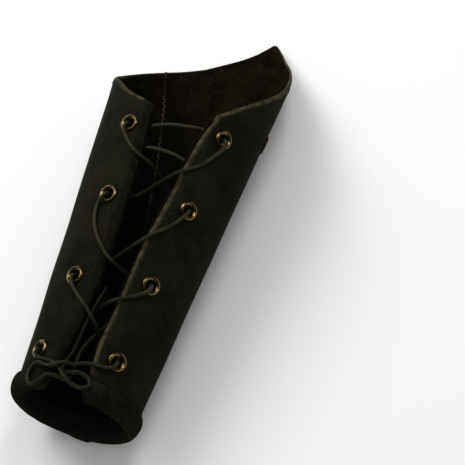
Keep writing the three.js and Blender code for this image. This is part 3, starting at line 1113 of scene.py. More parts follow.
class Tree:
    """The node tree of a material or of a world."""

    def __init__(self, owner: bpy.types.Material | bpy.types.World) -> None:
        """Empties the tree.

        Args:
            owner: The material or the world that it belongs to.
        """
        owner.use_nodes = True
        self.owner = owner
        self.nodes = owner.node_tree.nodes
        self.links = owner.node_tree.links
        self.nodes.clear()

    def add(self, kind: str, settings: dict | None = None, inputs: dict | None = None) -> bpy.types.Node:
        """Adds a node.

        Args:
            kind: The node's type.
            settings: Its settings, set first.
            inputs: Values or links of its sockets, by name or number.

        Returns:
            The node.
        """
        node = self.nodes.new(kind)
        for name, value in (settings or {}).items():
            setattr(node, name, value)
        for key, value in (inputs or {}).items():
            socket = node.inputs[key]
            if isinstance(value, Value):
                self.links.new(value.socket, socket)
            elif isinstance(value, bpy.types.NodeSocket):
                self.links.new(value, socket)
            else:
                socket.default_value = value
        return node

    def attribute(self, name: str) -> Value:
        """Reads a mesh attribute."""
        return Value(self, self.add("ShaderNodeAttribute", {"attribute_name": name}).outputs["Fac"])

    def places(self) -> bpy.types.NodeSocket:
        """Gives places in the frame, in metres."""
        return self.add("ShaderNodeTexCoord").outputs["Object"]

    def across(self, x: Value, y: Value) -> bpy.types.NodeSocket:
        """Gives places by two lengths in metres, such as on the unrolled leather."""
        return self.add("ShaderNodeCombineXYZ", None, {"X": x, "Y": y}).outputs[0]

    def noise(self, mottle: Mottle, at: bpy.types.NodeSocket | None = None) -> Value:
        """Adds noise.

        Args:
            mottle: What it is like.
            at: Where it is read, the frame's places if None.

        Returns:
            The noise, about 0.5.
        """
        inputs = {"Scale": 1 / MM / mottle.size, "Detail": mottle.detail, "Roughness": mottle.rough}
        inputs["Distortion"] = mottle.warp
        inputs["Vector"] = self.places() if at is None else at
        return Value(self, self.add("ShaderNodeTexNoise", None, inputs).outputs[0])

    def pebbles(self, size: float) -> Value:
        """Adds round cells of a size in millimetres, 0 at their middles."""
        inputs = {"Scale": 1 / MM / size, "Vector": self.places()}
        return Value(self, self.add("ShaderNodeTexVoronoi", {"feature": "F1"}, inputs).outputs["Distance"])

    def blend(self, share: Value | float, first: object, second: object) -> bpy.types.NodeSocket:
        """Mixes two colours.

        Args:
            share: How much of the second there is.
            first: The first colour, or a socket.
            second: The second colour, or a socket.

        Returns:
            The mixed colour.
        """
        colours = [(*c, 1.0) if isinstance(c, tuple) else c for c in (first, second)]
        settings = {"data_type": "RGBA", "clamp_factor": True}
        return self.add("ShaderNodeMix", settings, {0: share, 6: colours[0], 7: colours[1]}).outputs[2]

    def bumped(self, height: Value, depth: float, under: object = None) -> bpy.types.NodeSocket:
        """Bends the light for small relief.

        Args:
            height: The relief's height, 0 to 1.
            depth: How deep that is, in millimetres.
            under: A bump below it.

        Returns:
            The normal.
        """
        inputs = {"Strength": 1.0, "Distance": depth * MM, "Height": height}
        if under is not None:
            inputs["Normal"] = under
        return self.add("ShaderNodeBump", None, inputs).outputs[0]

    def finish(self, **sockets: object) -> bpy.types.Material:
        """Adds the surface shader and the output.

        Args:
            sockets: Values or links of its sockets, with _ for a space.

        Returns:
            The material.
        """
        inputs = {name.replace("_", " "): value for name, value in sockets.items()}
        shader = self.add("ShaderNodeBsdfPrincipled", None, inputs)
        self.add("ShaderNodeOutputMaterial", None, {"Surface": shader.outputs[0]})
        return self.owner


@dataclass(frozen=True)
class CutEdge:
    """The raw olive-tan fibres of a cut leather edge, darker towards the wrist, with painted shade along the
    left flap's slit edge.

    Depths are in millimetres, and widths on the leather in metres.
    """

    fibre: Colour = (0.068, 0.058, 0.029)
    dyed: Colour = (0.0190, 0.0160, 0.0085)
    # The dark colour of painted shade on the left flap's slit edge, also used towards the wrist
    left_edge_shade: Colour = (0.0056, 0.0048, 0.0036)
    patches: Mottle = Mottle(4.5, 4, 0.62, 0.4)
    fibres: Mottle = Mottle(0.55, 3, 0.65)
    patch_depth: float = 0.25
    fibre_depth: float = 0.18
    dark_below: float = 0.005
    # Width of the painted shade along the left flap's slit edge
    left_shade_width: float = 0.006

    def colour(self, tree: Tree) -> bpy.types.NodeSocket:
        """Mixes its colour.

        Args:
            tree: The material's tree.

        Returns:
            The colour.
        """
        tone = tree.noise(self.patches) * 0.7 + tree.noise(self.fibres) * 0.3
        colour = tree.blend(tone.ease(0.38, 0.6), self.dyed, self.fibre)
        # Painted shade along the left flap's slit edge, where it curls down into the slit; the same dark
        # colour also darkens the edge towards the wrist
        by_wrist = tree.attribute("up").ease(self.dark_below, 0.4 * self.dark_below)
        left_shade_mask = tree.attribute("from_left").ease(self.left_shade_width, 0.5 * self.left_shade_width)
        return tree.blend(left_shade_mask * 0.85 + by_wrist, colour, self.left_edge_shade)

    def material(self) -> bpy.types.Material:
        """Makes the material.

        Returns:
            The material.
        """
        tree = Tree(bpy.data.materials.new("cut_edge"))
        normal = tree.bumped(tree.noise(self.fibres), self.fibre_depth)
        normal = tree.bumped(tree.noise(self.patches), self.patch_depth, normal)
        return tree.finish(
            Base_Color=self.colour(tree), Roughness=0.78, Normal=normal, Specular_IOR_Level=0.02
        )


@dataclass(frozen=True)
class ArmourLeather:
    """Waxed, near-black olive grain leather.

    Depths are in millimetres, and widths on the leather in metres.
    """

    deep: Colour = (0.0058, 0.0060, 0.0036)
    lifted: Colour = (0.0122, 0.0119, 0.0076)
    brown: Colour = (0.0130, 0.0100, 0.0064)
    worn_and_lit: Colour = (0.0290, 0.0262, 0.0155)
    # The colour of painted shade on the left flap's slit edge
    left_edge_shade: Colour = (0.0050, 0.0041, 0.0028)
    clouds: Mottle = Mottle(26, 4, 0.6, 0.4)
    patches: Mottle = Mottle(9, 4, 0.62, 0.3)
    fine: Mottle = Mottle(1.6, 3, 0.6)
    browning: Mottle = Mottle(38, 3, 0.55, 0.5)
    rubbing: Mottle = Mottle(3.2, 3, 0.65)
    scratches: Mottle = Mottle(1.0, 4, 0.7)
    scratched: Mottle = Mottle(30)
    ragging: Mottle = Mottle(2.4, 3, 0.6)
    pores: Mottle = Mottle(0.34)
    creases: Mottle = Mottle(6.5, 3, 0.55, 1.1)
    creased: Mottle = Mottle(22)
    cell: float = 0.85
    patch_depth: float = 0.32
    pore_depth: float = 0.035
    crease_depth: float = 0.09
    cell_depth: float = 0.06
    channel_depth: float = 0.12
    # Width of the painted shade along the left flap's slit edge
    left_shade_width: float = 0.0052
    left_shade_full: float = 0.0012
    rubbed_width: float = 0.0034
    rubbed_full: float = 0.0002
    bevel_width: float = 0.0024
    bevel_ragged: float = 0.0016
    bevel: float = 0.7
    channel_inset: float = 0.004
    channel_width: float = 0.0007
    roughness: float = 0.58

    def material(self) -> bpy.types.Material:
        """Makes the material.

        Returns:
            The material.
        """
        tree = Tree(bpy.data.materials.new("armour_leather"))
        from_edge = tree.attribute("from_edge")
        clouds, patches = tree.noise(self.clouds), tree.noise(self.patches)
        fine = tree.noise(self.fine)
        tone = clouds * 0.55 + patches * 0.3 + fine * 0.15
        colour = tree.blend(tone.ease(0.36, 0.64), self.deep, self.lifted)
        colour = tree.blend(tree.noise(self.browning).ease(0.52, 0.68) * 0.55, colour, self.brown)
        # Painted shade: a dark strip along the left flap's slit edge, where the edge curls down into the
        # slit, with no rubbing on it
        left_edge_shade = tree.attribute("from_left").ease(self.left_shade_width, self.left_shade_full)
        rubbed_and_lit = from_edge.ease(self.rubbed_width, self.rubbed_full)
        rubbed_and_lit = rubbed_and_lit * tree.noise(self.rubbing).ease(0.34, 0.66) * (1 - left_edge_shade)
        unrolled = tree.across(tree.attribute("around") * 0.9, tree.attribute("up") * 0.16)
        scuffs = tree.noise(self.scratches, unrolled).ease(0.62, 0.74)
        scuffs = scuffs * tree.noise(self.scratched).ease(0.48, 0.66)
        colour = tree.blend(rubbed_and_lit * 0.8 + scuffs * 0.35, colour, self.worn_and_lit)
        # Painted shade along the left flap's slit edge
        colour = tree.blend(left_edge_shade * 0.75, colour, self.left_edge_shade)
        ragged = from_edge + (tree.noise(self.ragging) - 0.5) * self.bevel_ragged
        bevel = ragged.ease(self.bevel_width, 0.5 * self.bevel_width) * self.bevel
        colour = tree.blend(bevel, colour, CutEdge().colour(tree))
        creases = 1 - abs(tree.noise(self.creases) - 0.5).ease(0.0, 0.035)
        creases = creases * tree.noise(self.creased).ease(0.42, 0.62)
        channel = abs(from_edge - self.channel_inset).ease(0.0, self.channel_width)
        grain = tree.bumped(1 - tree.pebbles(self.cell).ease(0.0, 0.75), self.cell_depth)
        grain = tree.bumped(tree.noise(self.pores), self.pore_depth, grain)
        grain = tree.bumped(patches, self.patch_depth, grain)
        grain = tree.bumped(1 - creases, self.crease_depth, grain)
        grain = tree.bumped(channel, self.channel_depth, grain)
        gloss = self.roughness + (clouds - 0.5) * 0.22 + (fine - 0.5) * 0.12 - rubbed_and_lit * 0.1
        return tree.finish(Base_Color=colour, Roughness=gloss, Normal=grain, Specular_IOR_Level=0.005)


@dataclass(frozen=True)
class Suede:
    """Dark brown suede with a short nap, with painted shade further in."""

    name: str = "suede"
    dark: Colour = (0.0030, 0.0024, 0.0014)
    light: Colour = (0.0094, 0.0074, 0.0044)
    brushed: Colour = (0.0150, 0.0114, 0.0070)
    # The colour of painted shade further in
    inner_shade_colour: Colour = (0.0034, 0.0032, 0.0026)
    sheen: Colour = (0.55, 0.42, 0.32)
    clouds: Mottle = Mottle(17, 4, 0.6, 0.9)
    strokes: Mottle = Mottle(5.5, 4, 0.66, 1.4)
    nap: Mottle = Mottle(0.5, 4, 0.7)
    stroke_depth: float = 0.3
    nap_depth: float = 0.16

    def material(self) -> bpy.types.Material:
        """Makes the material.

        Returns:
            The material.
        """
        tree = Tree(bpy.data.materials.new(self.name))
        strokes, nap = tree.noise(self.strokes), tree.noise(self.nap)
        tone = tree.noise(self.clouds) * 0.4 + strokes * 0.35 + nap * 0.25
        colour = tree.blend(tone.ease(0.36, 0.64), self.dark, self.light)
        colour = tree.blend(strokes.ease(0.55, 0.72) * nap.ease(0.4, 0.66), colour, self.brushed)
        # Painted shade: darker further in
        colour = tree.blend(tree.attribute("inner_shade"), colour, self.inner_shade_colour)
        return tree.finish(
            Base_Color=colour,
            Roughness=0.94,
            Normal=tree.bumped(strokes, self.stroke_depth, tree.bumped(nap, self.nap_depth)),
            Specular_IOR_Level=0.0,
            Sheen_Weight=0.008,
            Sheen_Roughness=0.5,
            Sheen_Tint=(*self.sheen, 1.0),
        )


@dataclass(frozen=True)
class AntiqueBrass:
    """Brass that is bright where it is rubbed and brown in its hollows."""

    bright: Colour = (0.150, 0.107, 0.042)
    dull: Colour = (0.074, 0.047, 0.015)
    tarnish: Colour = (0.022, 0.012, 0.004)
    blotches: Mottle = Mottle(2.6, 4, 0.62, 0.6)
    specks: Mottle = Mottle(0.45, 3, 0.6)
    blotch_depth: float = 0.012
    speck_depth: float = 0.004
    roughness: float = 0.25

    def material(self) -> bpy.types.Material:
        """Makes the material.

        Returns:
            The material.
        """
        tree = Tree(bpy.data.materials.new("antique_brass"))
        high = tree.attribute("high")
        blotches, specks = tree.noise(self.blotches), tree.noise(self.specks)
        rubbed_and_lit = (high * 0.75 + blotches * 0.4 - 0.07).ease(0.3, 0.85)
        stains = (1 - high).ease(0.45, 1.0) * blotches.ease(0.3, 0.6) + specks.ease(0.68, 0.8) * 0.35
        colour = tree.blend(stains, tree.blend(rubbed_and_lit, self.dull, self.bright), self.tarnish)
        gloss = self.roughness + (1 - rubbed_and_lit) * 0.1 + (specks - 0.5) * 0.04
        normal = tree.bumped(specks, self.speck_depth, tree.bumped(blotches, self.blotch_depth))
        return tree.finish(Base_Color=colour, Roughness=gloss, Metallic=1.0, Normal=normal)


@dataclass(frozen=True)
class RoundLace:
    """A round leather lace, dyed dark, with painted light on its outer side, on the flaps and across the open
    top, and painted shade in the slit and by the bow. Its width is in metres.
    """

    deep: Colour = (0.0042, 0.0042, 0.0024)
    worn_and_lit: Colour = (0.0280, 0.0268, 0.0118)
    wear: Mottle = Mottle(7, 4, 0.6, 0.3)
    cracks: Mottle = Mottle(0.42, 3, 0.62, 0.2)
    fibres: Mottle = Mottle(0.9, 3, 0.6)
    crack_depth: float = 0.05
    fibre_depth: float = 0.07
    width: float = 0.0022
    roughness: float = 0.32

    def material(self) -> bpy.types.Material:
        """Makes the material.

        Returns:
            The material.
        """
        tree = Tree(bpy.data.materials.new("round_lace"))
        # Painted light and shade: the lace's colour runs from its dark dye to a lit colour by the painted
        # light of each point
        rubbed_and_lit = tree.attribute("rubbed_and_lit")
        at = tree.across(tree.attribute("along"), tree.attribute("turn") * self.width)
        wear, fibres = tree.noise(self.wear), tree.noise(self.fibres)
        cracks = tree.noise(self.cracks, at)
        tone = wear * 0.5 + cracks * 0.25 + fibres * 0.25
        colour = tree.blend((0.45 + 0.55 * tone.ease(0.34, 0.62)) * rubbed_and_lit, self.deep, self.worn_and_lit)
        normal = tree.bumped(fibres, self.fibre_depth, tree.bumped(cracks, self.crack_depth))
        gloss = self.roughness + (1 - rubbed_and_lit) * 0.3 + (wear - 0.5) * 0.25
        return tree.finish(Base_Color=colour, Roughness=gloss, Normal=normal, Specular_IOR_Level=0.06)


@dataclass(frozen=True)
class WaxedThread:
    """Waxed sewing thread."""

    name: str
    dark: Colour
    light: Colour
    wear: Mottle = Mottle(14, 4, 0.7)
    plies: Mottle = Mottle(0.28, 2, 0.6, 0.6)
    ply_depth: float = 0.05

    def material(self) -> bpy.types.Material:
        """Makes the material.

        Returns:
            The material.
        """
        tree = Tree(bpy.data.materials.new(self.name))
        plies = tree.noise(self.plies)
        tone = tree.noise(self.wear) * 0.8 + plies * 0.2
        colour = tree.blend(tone.ease(0.42, 0.64), self.dark, self.light)
        normal = tree.bumped(plies, self.ply_depth)
        return tree.finish(Base_Color=colour, Roughness=0.6, Normal=normal, Specular_IOR_Level=0.02)


def sewn_piece(name: str, rows: Sequence[Mesh], thread: WaxedThread) -> None:
    """Makes one piece of rows of stitches.

    Args:
        name: The piece's name.
        rows: The threads of each row.
        thread: The thread that they are sewn with.
    """
    faces, start = [], 0
    for points, own_faces in rows:
        faces += [[start + k for k in face] for face in own_faces]
        start += len(points)
    piece = new_object(name, np.concatenate([points for points, _ in rows]), faces)
    finish_piece(piece, [thread.material()])


@dataclass
class Shell:
    """The armour leather, with its stitches."""

    surface: Surface
    leather: float = LEATHER_THICK
    stitch_inset: float = 4.0
    slit_points: int = 240
    rim_points: int = 900
    thread: WaxedThread = WaxedThread("olive_thread", (0.0095, 0.0092, 0.0058), (0.0270, 0.0245, 0.0155))
    bobbin: WaxedThread = WaxedThread("brown_thread", (0.0040, 0.0030, 0.0020), (0.0120, 0.0095, 0.0062))

    def build(self) -> None:
        """Makes the leather and sews it."""
        sheet = WrappedSheet(
            surface=self.surface,
            name="bracer_leather",
            punches=self.surface.fittings,
            outer_lift=0.0,
            inner_lift=-self.leather,
            below_rim=0.0,
            past_slit=0.0,
            edge_round=0.5,
            bevel_drop=1.2,
            edge_wander=0.12,
            rows=150,
            coarse=1.6,
            fine=0.8,
        )
        materials = [ArmourLeather().material(), CutEdge().material()]
        finish_piece(sheet.build(), materials, ["leather_shell"])
        paths = self.seams()
        outside = StitchRow(self.surface, base_lift=0.0)
        inside = StitchRow(self.surface, base_lift=LINING_BACK, outward=-1.0)
        sewn_piece("edge_stitches", [outside.along(*path) for path in paths], self.thread)
        sewn_piece("edge_stitches_inside", [inside.along(*path) for path in paths], self.bobbin)

    def seams(self) -> list[tuple[Array, Array]]:
        """Lays out the stitch lines, a little in from the slit and the rim.

        Returns:
            The degrees and heights of each line.
        """
        cone, outline = self.surface.cone, self.surface.outline
        inset = self.stitch_inset
        height = np.linspace(inset, RIM_NEAR_SIDE[-1].height - inset, self.slit_points)
        start, end = outline.span(height, -inset)
        lines = [(start, height), (end, height)]
        for low, high in ((0.0, outline.peak_from_front), (outline.peak_from_front, 360.0)):
            degrees = np.linspace(low, high, self.rim_points)
            rim = outline.rim(degrees)
            run = np.gradient(cone.arc(degrees, rim.mean()))
            rise = np.gradient(rim)
            length = np.hypot(run, rise)
            level = rim - inset * run / length
            moved = degrees + cone.degrees(inset * rise / length, level)
            right, left = outline.from_slit(moved, level)
            inside = (right > inset) & (left > inset) & (moved > low) & (moved < high)
            lines.append((moved[inside], level[inside]))
        return lines


@dataclass
class Lining:
    """The suede lining, with the zigzag seam down its far side."""

    surface: Surface
    outer_lift: float = -2.42
    inner_lift: float = LINING_BACK
    # Height and degrees of the places that the seam passes
    seam: tuple[tuple[float, float], ...] = ((4, 159), (153, 189.1), (173, 194.4), (198, 201.9), (221, 211))
    seam_width: float = 2.4
    seam_points: int = 300
    thread: WaxedThread = WaxedThread("pale_thread", (0.022, 0.020, 0.014), (0.120, 0.108, 0.080))

    def build(self) -> None:
        """Makes the lining and its seam."""
        sheet = WrappedSheet(
            surface=self.surface,
            name="bracer_lining",
            punches=[fitting for fitting in self.surface.fittings if fitting.through_lining],
            outer_lift=self.outer_lift,
            inner_lift=self.inner_lift,
            below_rim=1.2,
            past_slit=1.4,
            edge_round=0.35,
            edge_wander=0.35,
            rows=110,
            coarse=2.0,
            fine=1.0,
            inner_waves=0.16,
        )
        suede = Suede().material()
        finish_piece(sheet.build(), [suede, suede], ["suede_lining"])
        height = np.linspace(self.seam[-1][0], self.seam[0][0], self.seam_points)
        degrees = SmoothTable(*zip(*self.seam))(height)
        row = StitchRow(
            self.surface,
            base_lift=self.inner_lift,
            outward=-1.0,
            pitch=1.9,
            thread=0.26,
            bulge=0.26,
            dip=0.4,
        )
        sewn_piece("lining_seam", [row.across(degrees, height, self.seam_width)], self.thread)


@dataclass
class WristRoll:
    """The padded suede roll round the wrist end."""

    surface: Surface
    # Lift and height of the places round its section
    section: tuple[tuple[float, float], ...] = (
        (-0.4, 0.3),
        (2, -1.7),
        (3, -4.6),
        (2.8, -8.4),
        (1.4, -11.6),
        (-1.1, -12.9),
        (-3.6, -12),
        (-5.4, -9.2),
        (-5.8, -5.4),
        (-5.2, -2),
        (-3.8, 0.2),
    )
    middle: tuple[float, float] = (-1.4, -6.4)
    half_thick: float = 6.0
    past_slit: float = 0.6
    columns: int = 300
    around: int = 44
    end_length: float = 5.0
    end_squeeze: float = 0.9
    gather: float = 0.3
    gathers: Ripple = Ripple(21, 6.0, 12.0)
    gather_reach: float = 9.0
    softness: float = 0.3
    soft_waves: Ripple = Ripple(22, 25.0, 60.0)
    soft_reach: float = 8.0
    joint_from_peak: float = 20.0
    joint_step: float = 0.7
    joint_lip: float = 1.4
    joint_fade: tuple[float, float] = (6.0, 14.0)
    crowding: float = 0.35
    # Painted shade on the roll's inner side, fading in between these lifts
    inner_shade_strength: float = 0.85
    inner_shade_lifts: tuple[float, float] = (-1.0, -5.0)  # where it starts and where it is full
    suede: Suede = Suede(
        "roll_suede",
        dark=(0.0048, 0.0045, 0.0030),
        light=(0.0130, 0.0121, 0.0080),
        brushed=(0.0190, 0.0174, 0.0116),
        inner_shade_colour=(0.0072, 0.0068, 0.0060),
    )

    def outline(self) -> Array:
        """Rounds the section off.

        Returns:
            Its points, as lift and height.
        """
        rows = np.array(self.section)
        count = len(rows)
        at = np.linspace(0, count, self.around, endpoint=False)
        i, t = np.floor(at).astype(int), (at % 1)[:, None]
        a, b, c, d = (rows[(i + k) % count] for k in (-1, 0, 1, 2))
        bend, twist = 2 * a - 5 * b + 4 * c - d, 3 * b - a - 3 * c + d
        return 0.5 * (2 * b + (c - a) * t + bend * t**2 + twist * t**3)

    def build(self) -> None:
        """Makes the roll."""
        cone, leather = self.surface.cone, self.surface.outline
        rest = cone.roll_rest_height
        start = float(cone.degrees(leather.right(rest) - self.past_slit, 0.0))
        end = 360.0 + float(cone.degrees(leather.left(rest) + self.past_slit, 0.0))
        even = np.linspace(0, 1, self.columns + 1)
        share = even - self.crowding * np.sin(even * math.tau) / math.tau
        degrees = (start + (end - start) * share)[:, None]
        to_end = cone.arc(np.minimum(degrees - start, end - degrees), 0.0)
        ending = np.clip(1 - to_end / self.end_length, 0, 1)
        swell = self._swell(degrees) * np.sqrt(1 - ending**2 * self.end_squeeze)
        section = self.outline() - np.array(self.middle)
        lift = self.middle[0] + section[None, :, 0] * swell
        height = self.middle[1] + section[None, :, 1] * swell
        points = cone.place(degrees, height, lift, lift)
        ring = np.arange(self.around)
        faces = ring_faces(self.columns + 1, self.around).tolist()
        faces += [ring[::-1].tolist(), (self.columns * self.around + ring).tolist()]
        piece = new_object("wrist_roll", points, faces)
        # Painted shade on the roll's inner side
        set_attribute(piece, "inner_shade", self.inner_shade_strength * ease(*self.inner_shade_lifts, lift))
        finish_piece(piece, [self.suede.material()], ["wrist_binding"])

    def _swell(self, degrees: Array) -> Array:
        """Works out the gathers, the softness and the lip of the joint.

        Args:
            degrees: The degrees of the columns, as a column.

        Returns:
            How many times fuller than its section the roll is, columns by points round it.
        """
        cone = self.surface.cone
        arc = cone.arc(degrees, 0.0)
        turn = np.arange(self.around)[None, :] * math.tau / self.around
        on_face = np.clip(np.cos(turn) * 0.5 + 0.6, 0.2, 1)
        pucker = self.gathers(arc, self.gather_reach * np.sin(turn)) * on_face
        soft = self.soft_waves(arc, self.soft_reach * np.cos(turn))
        joint = self.surface.outline.peak_from_front + self.joint_from_peak
        past_joint = cone.arc(degrees - joint, 0.0)
        overlap = ease(-self.joint_lip, 0.0, past_joint) * (1 - ease(*self.joint_fade, past_joint))
        fuller = self.gather * pucker + self.softness * soft + self.joint_step * overlap
        return 1 + fuller / self.half_thick


@dataclass
class BrassFittings:
    """The eyelets and the rivets."""

    surface: Surface
    sides: int = 56
    bore: float = 2.8
    bore_top: float = -2.0
    barrel: float = 3.2
    flange: float = 5.5
    flange_seat: float = -0.45
    washer: float = 4.9
    back_seat: float = -4.6
    back_face: float = -5.3
    edge: float = 0.2
    dome: float = 3.5
    dome_foot: float = 0.25
    dome_height: float = 1.2
    groove: float = 0.12
    rivet_flange: float = 5.6
    rivet_foot: float = 0.1
    rivet_crown: float = 0.95
    round_steps: int = 12
    post: float = 1.7
    back_plate: float = 3.4
    back_thick: float = 0.7
    leather: float = LEATHER_THICK
    dent: float = 0.05
    dent_seed: int = 40
    dent_waves: tuple[float, float] = (2.5, 9.0)
    undented_below: float = -1.0

    def build(self) -> None:
        """Makes all the fittings."""
        brass = AntiqueBrass().material()
        for number, fitting in enumerate(self.surface.fittings):
            is_eyelet = fitting.node.startswith("eyelet")
            profile = self.eyelet_profile() if is_eyelet else self.rivet_profile()
            piece = self.turned(fitting, profile, number)
            finish_piece(piece, [brass], [fitting.node])

    def eyelet_profile(self) -> list[ProfileRow]:
        """Lays out half an eyelet's section.

        Returns:
            Its rows, which close on themselves.
        """
        bore, washer, edge = self.bore, self.washer, self.edge
        seat, back = self.back_seat, self.back_face
        return [
            ProfileRow(bore, back, 0.0),
            ProfileRow(bore, self.bore_top, 0.0),
            *EYELET_RIM,
            ProfileRow(self.flange - edge, self.flange_seat, 0.0),
            ProfileRow(self.barrel, self.flange_seat, 0.0),
            ProfileRow(self.barrel, seat, 0.0),
            ProfileRow(washer - edge, seat, 0.1),
            ProfileRow(washer, seat - 1.25 * edge, 0.5),
            ProfileRow(washer - 0.75 * edge, back + 0.5 * edge, 0.8),
            ProfileRow(bore + 4.5 * edge, back - 1.25 * edge, 0.8),
            ProfileRow(bore + 1.5 * edge, back - edge, 0.5),
        ]

    def rivet_profile(self) -> list[ProfileRow]:
        """Lays out half a rivet's section.

        Returns:
            Its rows, which start and end on the axis.
        """
        back, seat = -self.leather, self.back_thick - self.leather
        rows = [
            ProfileRow(0.0, back, 0.5),
            ProfileRow(self.back_plate - self.edge, back, 0.6),
            ProfileRow(self.back_plate, back + self.edge, 0.4),
            ProfileRow(self.back_plate, seat, 0.0),
            ProfileRow(self.post, seat, 0.0),
            ProfileRow(self.post, self.flange_seat, 0.0),
            ProfileRow(self.rivet_flange - self.edge, self.flange_seat, 0.0),
        ]
        middle = (self.dome + self.groove + self.rivet_flange) / 2
        half = self.rivet_flange - middle
        for k in range(self.round_steps + 1):
            turn = math.pi * k / self.round_steps
            rise = (self.rivet_crown - self.rivet_foot) * math.sin(turn) ** 0.8
            high = 0.2 + 0.8 * math.sin(turn)
            rows.append(ProfileRow(middle + half * math.cos(turn), self.rivet_foot + rise, high))
        for k in range(1, self.round_steps):
            turn = math.pi / 2 * k / self.round_steps
            rise = (self.dome_height - self.dome_foot) * math.sin(turn) ** 0.9
            high = 0.15 + 0.85 * math.sin(turn) ** 0.5
            rows.append(ProfileRow(self.dome * math.cos(turn) ** 0.75, self.dome_foot + rise, high))
        return [*rows, ProfileRow(0.0, self.dome_height, 1.0)]

    def turned(self, fitting: Fitting, profile: Sequence[ProfileRow], number: int) -> bpy.types.Object:
        """Turns a profile and seats it.

        Args:
            fitting: Its place.
            profile: Its section.
            number: Its number, which makes its dents its own.

        Returns:
            The object.
        """
        rows = np.array(profile)
        on_axis = rows[0, 0] == 0.0
        body = rows[1:-1] if on_axis else rows
        turn = np.arange(self.sides) * math.tau / self.sides
        x = body[:, :1] * np.cos(turn)
        y = body[:, :1] * np.sin(turn)
        dents = self.dent * Ripple(self.dent_seed + number, *self.dent_waves)(x, y)
        z = body[:, 1:2] + dents * (body[:, 1:2] > self.undented_below)
        points = np.stack([x, y, z], axis=-1).reshape(-1, 3)
        high = np.repeat(body[:, 2], self.sides)
        if on_axis:
            foot, top, last = len(points), len(points) + 1, len(points) - self.sides
            faces = ring_faces(len(body), self.sides).tolist()
            faces += [[foot, (k + 1) % self.sides, k] for k in range(self.sides)]
            faces += [[top, last + k, last + (k + 1) % self.sides] for k in range(self.sides)]
            points = np.concatenate([points, [[0, 0, rows[0, 1]], [0, 0, rows[-1, 1]]]])
            high = np.concatenate([high, rows[[0, -1], 2]])
        else:
            faces = ring_faces(len(body) + 1, self.sides) % len(points)
        matrix = np.array(self.surface.seat(fitting))
        placed = points @ matrix[:3, :3].T + matrix[:3, 3]
        piece = new_object(fitting.node + "_brass", placed, faces)
        set_attribute(piece, "high", high)
        return piece


LACE_RADIUS = 1.1
ON = LACE_RADIUS + 0.05  # lift of the lace where it lies on the leather
UNDER = LINING_BACK - LACE_RADIUS - 0.1  # lift of the lace where it lies under the lining

# The lace from eyelet to eyelet: arc, height and lift of the places that it passes
LEFT_1_TO_RIGHT_2 = (
    Spot(-30.2, 143.2, 2.8),
    Spot(-27.5, 138.3, ON),
    Spot(-21.1, 132, ON),
    Spot(-15.8, 128.8, 1.0),
    Spot(-8.5, 126, -1.8),
    Spot(-1, 122.5, -5.2),
    Spot(5.5, 118.5, -7.4),
    Spot(12, 114.5, -8.2),
    Spot(17.6, 111.3, -7.8),
)
RIGHT_1_TO_LEFT_2 = (
    Spot(27.1, 151.4, 2.8),
    Spot(24.4, 145.4, ON),
    Spot(18, 135.6, ON),
    Spot(12.6, 130.2, ON),
    Spot(8.4, 126.6, 0.8),
    Spot(2.5, 120, -1.8),
    Spot(-3.7, 113.5, -4.6),
    Spot(-10, 108.5, -6.4),
    Spot(-16.5, 105.4, UNDER - 0.4),
    Spot(-21.6, 104.1, -7),
)
LEFT_2_TO_RIGHT_3 = (
    Spot(-26.9, 99.4, 2.8),
    Spot(-28.6, 93.8, ON),
    Spot(-26.6, 86, ON),
    Spot(-20.9, 76.8, ON),
    Spot(-15.4, 70.6, ON),
    Spot(-11, 66.9, 0.8),
    Spot(-4.6, 64.4, -2.6),
    Spot(1, 63.8, -5.4),
    Spot(6.6, 63.2, -7.8),
    Spot(12.2, 62.1, -7.6),
)
RIGHT_2_TO_LEFT_3 = (
    Spot(19.2, 104.6, 2.8),
    Spot(14.3, 96, ON),
    Spot(9.4, 90.4, ON),
    Spot(5, 85.4, ON),
    Spot(0.8, 80, -0.2),
    Spot(-4, 74.6, -2.6),
    Spot(-9, 69.6, -4.8),
    Spot(-14.6, 63.4, UNDER - 0.4),
    Spot(-20.4, 58.4, -6.4),
    Spot(-23.8, 55.9, -6.8),
)
LEFT_3_TO_RIGHT_4 = (
    Spot(-26.2, 49.6, 2.8),
    Spot(-22.4, 44.8, ON),
    Spot(-17.6, 40.6, ON),
    Spot(-13, 36.8, 1.1),
    Spot(-9, 33.2, 0),
    Spot(-5, 29.8, -2.2),
    Spot(-1, 26.4, -5),
    Spot(4, 22.2, -7),
    Spot(9.2, 17.8, -7.2),
)
RIGHT_3_TO_LEFT_4 = (
    Spot(14.8, 56.6, 2.8),
    Spot(9.8, 51.6, ON),
    Spot(4.6, 48.2, ON),
    Spot(0.6, 45.4, 0.8),
    Spot(-4.2, 42, -2.4),
    Spot(-8.6, 38.4, -4.8),
    Spot(-14, 33, -6.4),
    Spot(-20, 25.5, -6.6),
    Spot(-26, 18, -6.8),
    Spot(-30, 13.4, -7),
)
TOP_BAR = (
    Spot(-25.2, 148.4, -7.4),
    Spot(-16, 151.8, -8),
    Spot(-6, 154.8, -9.4),
    Spot(5, 157, -9.6),
    Spot(14.5, 158.6, -8.6),
    Spot(22, 157.2, -7.4),
)
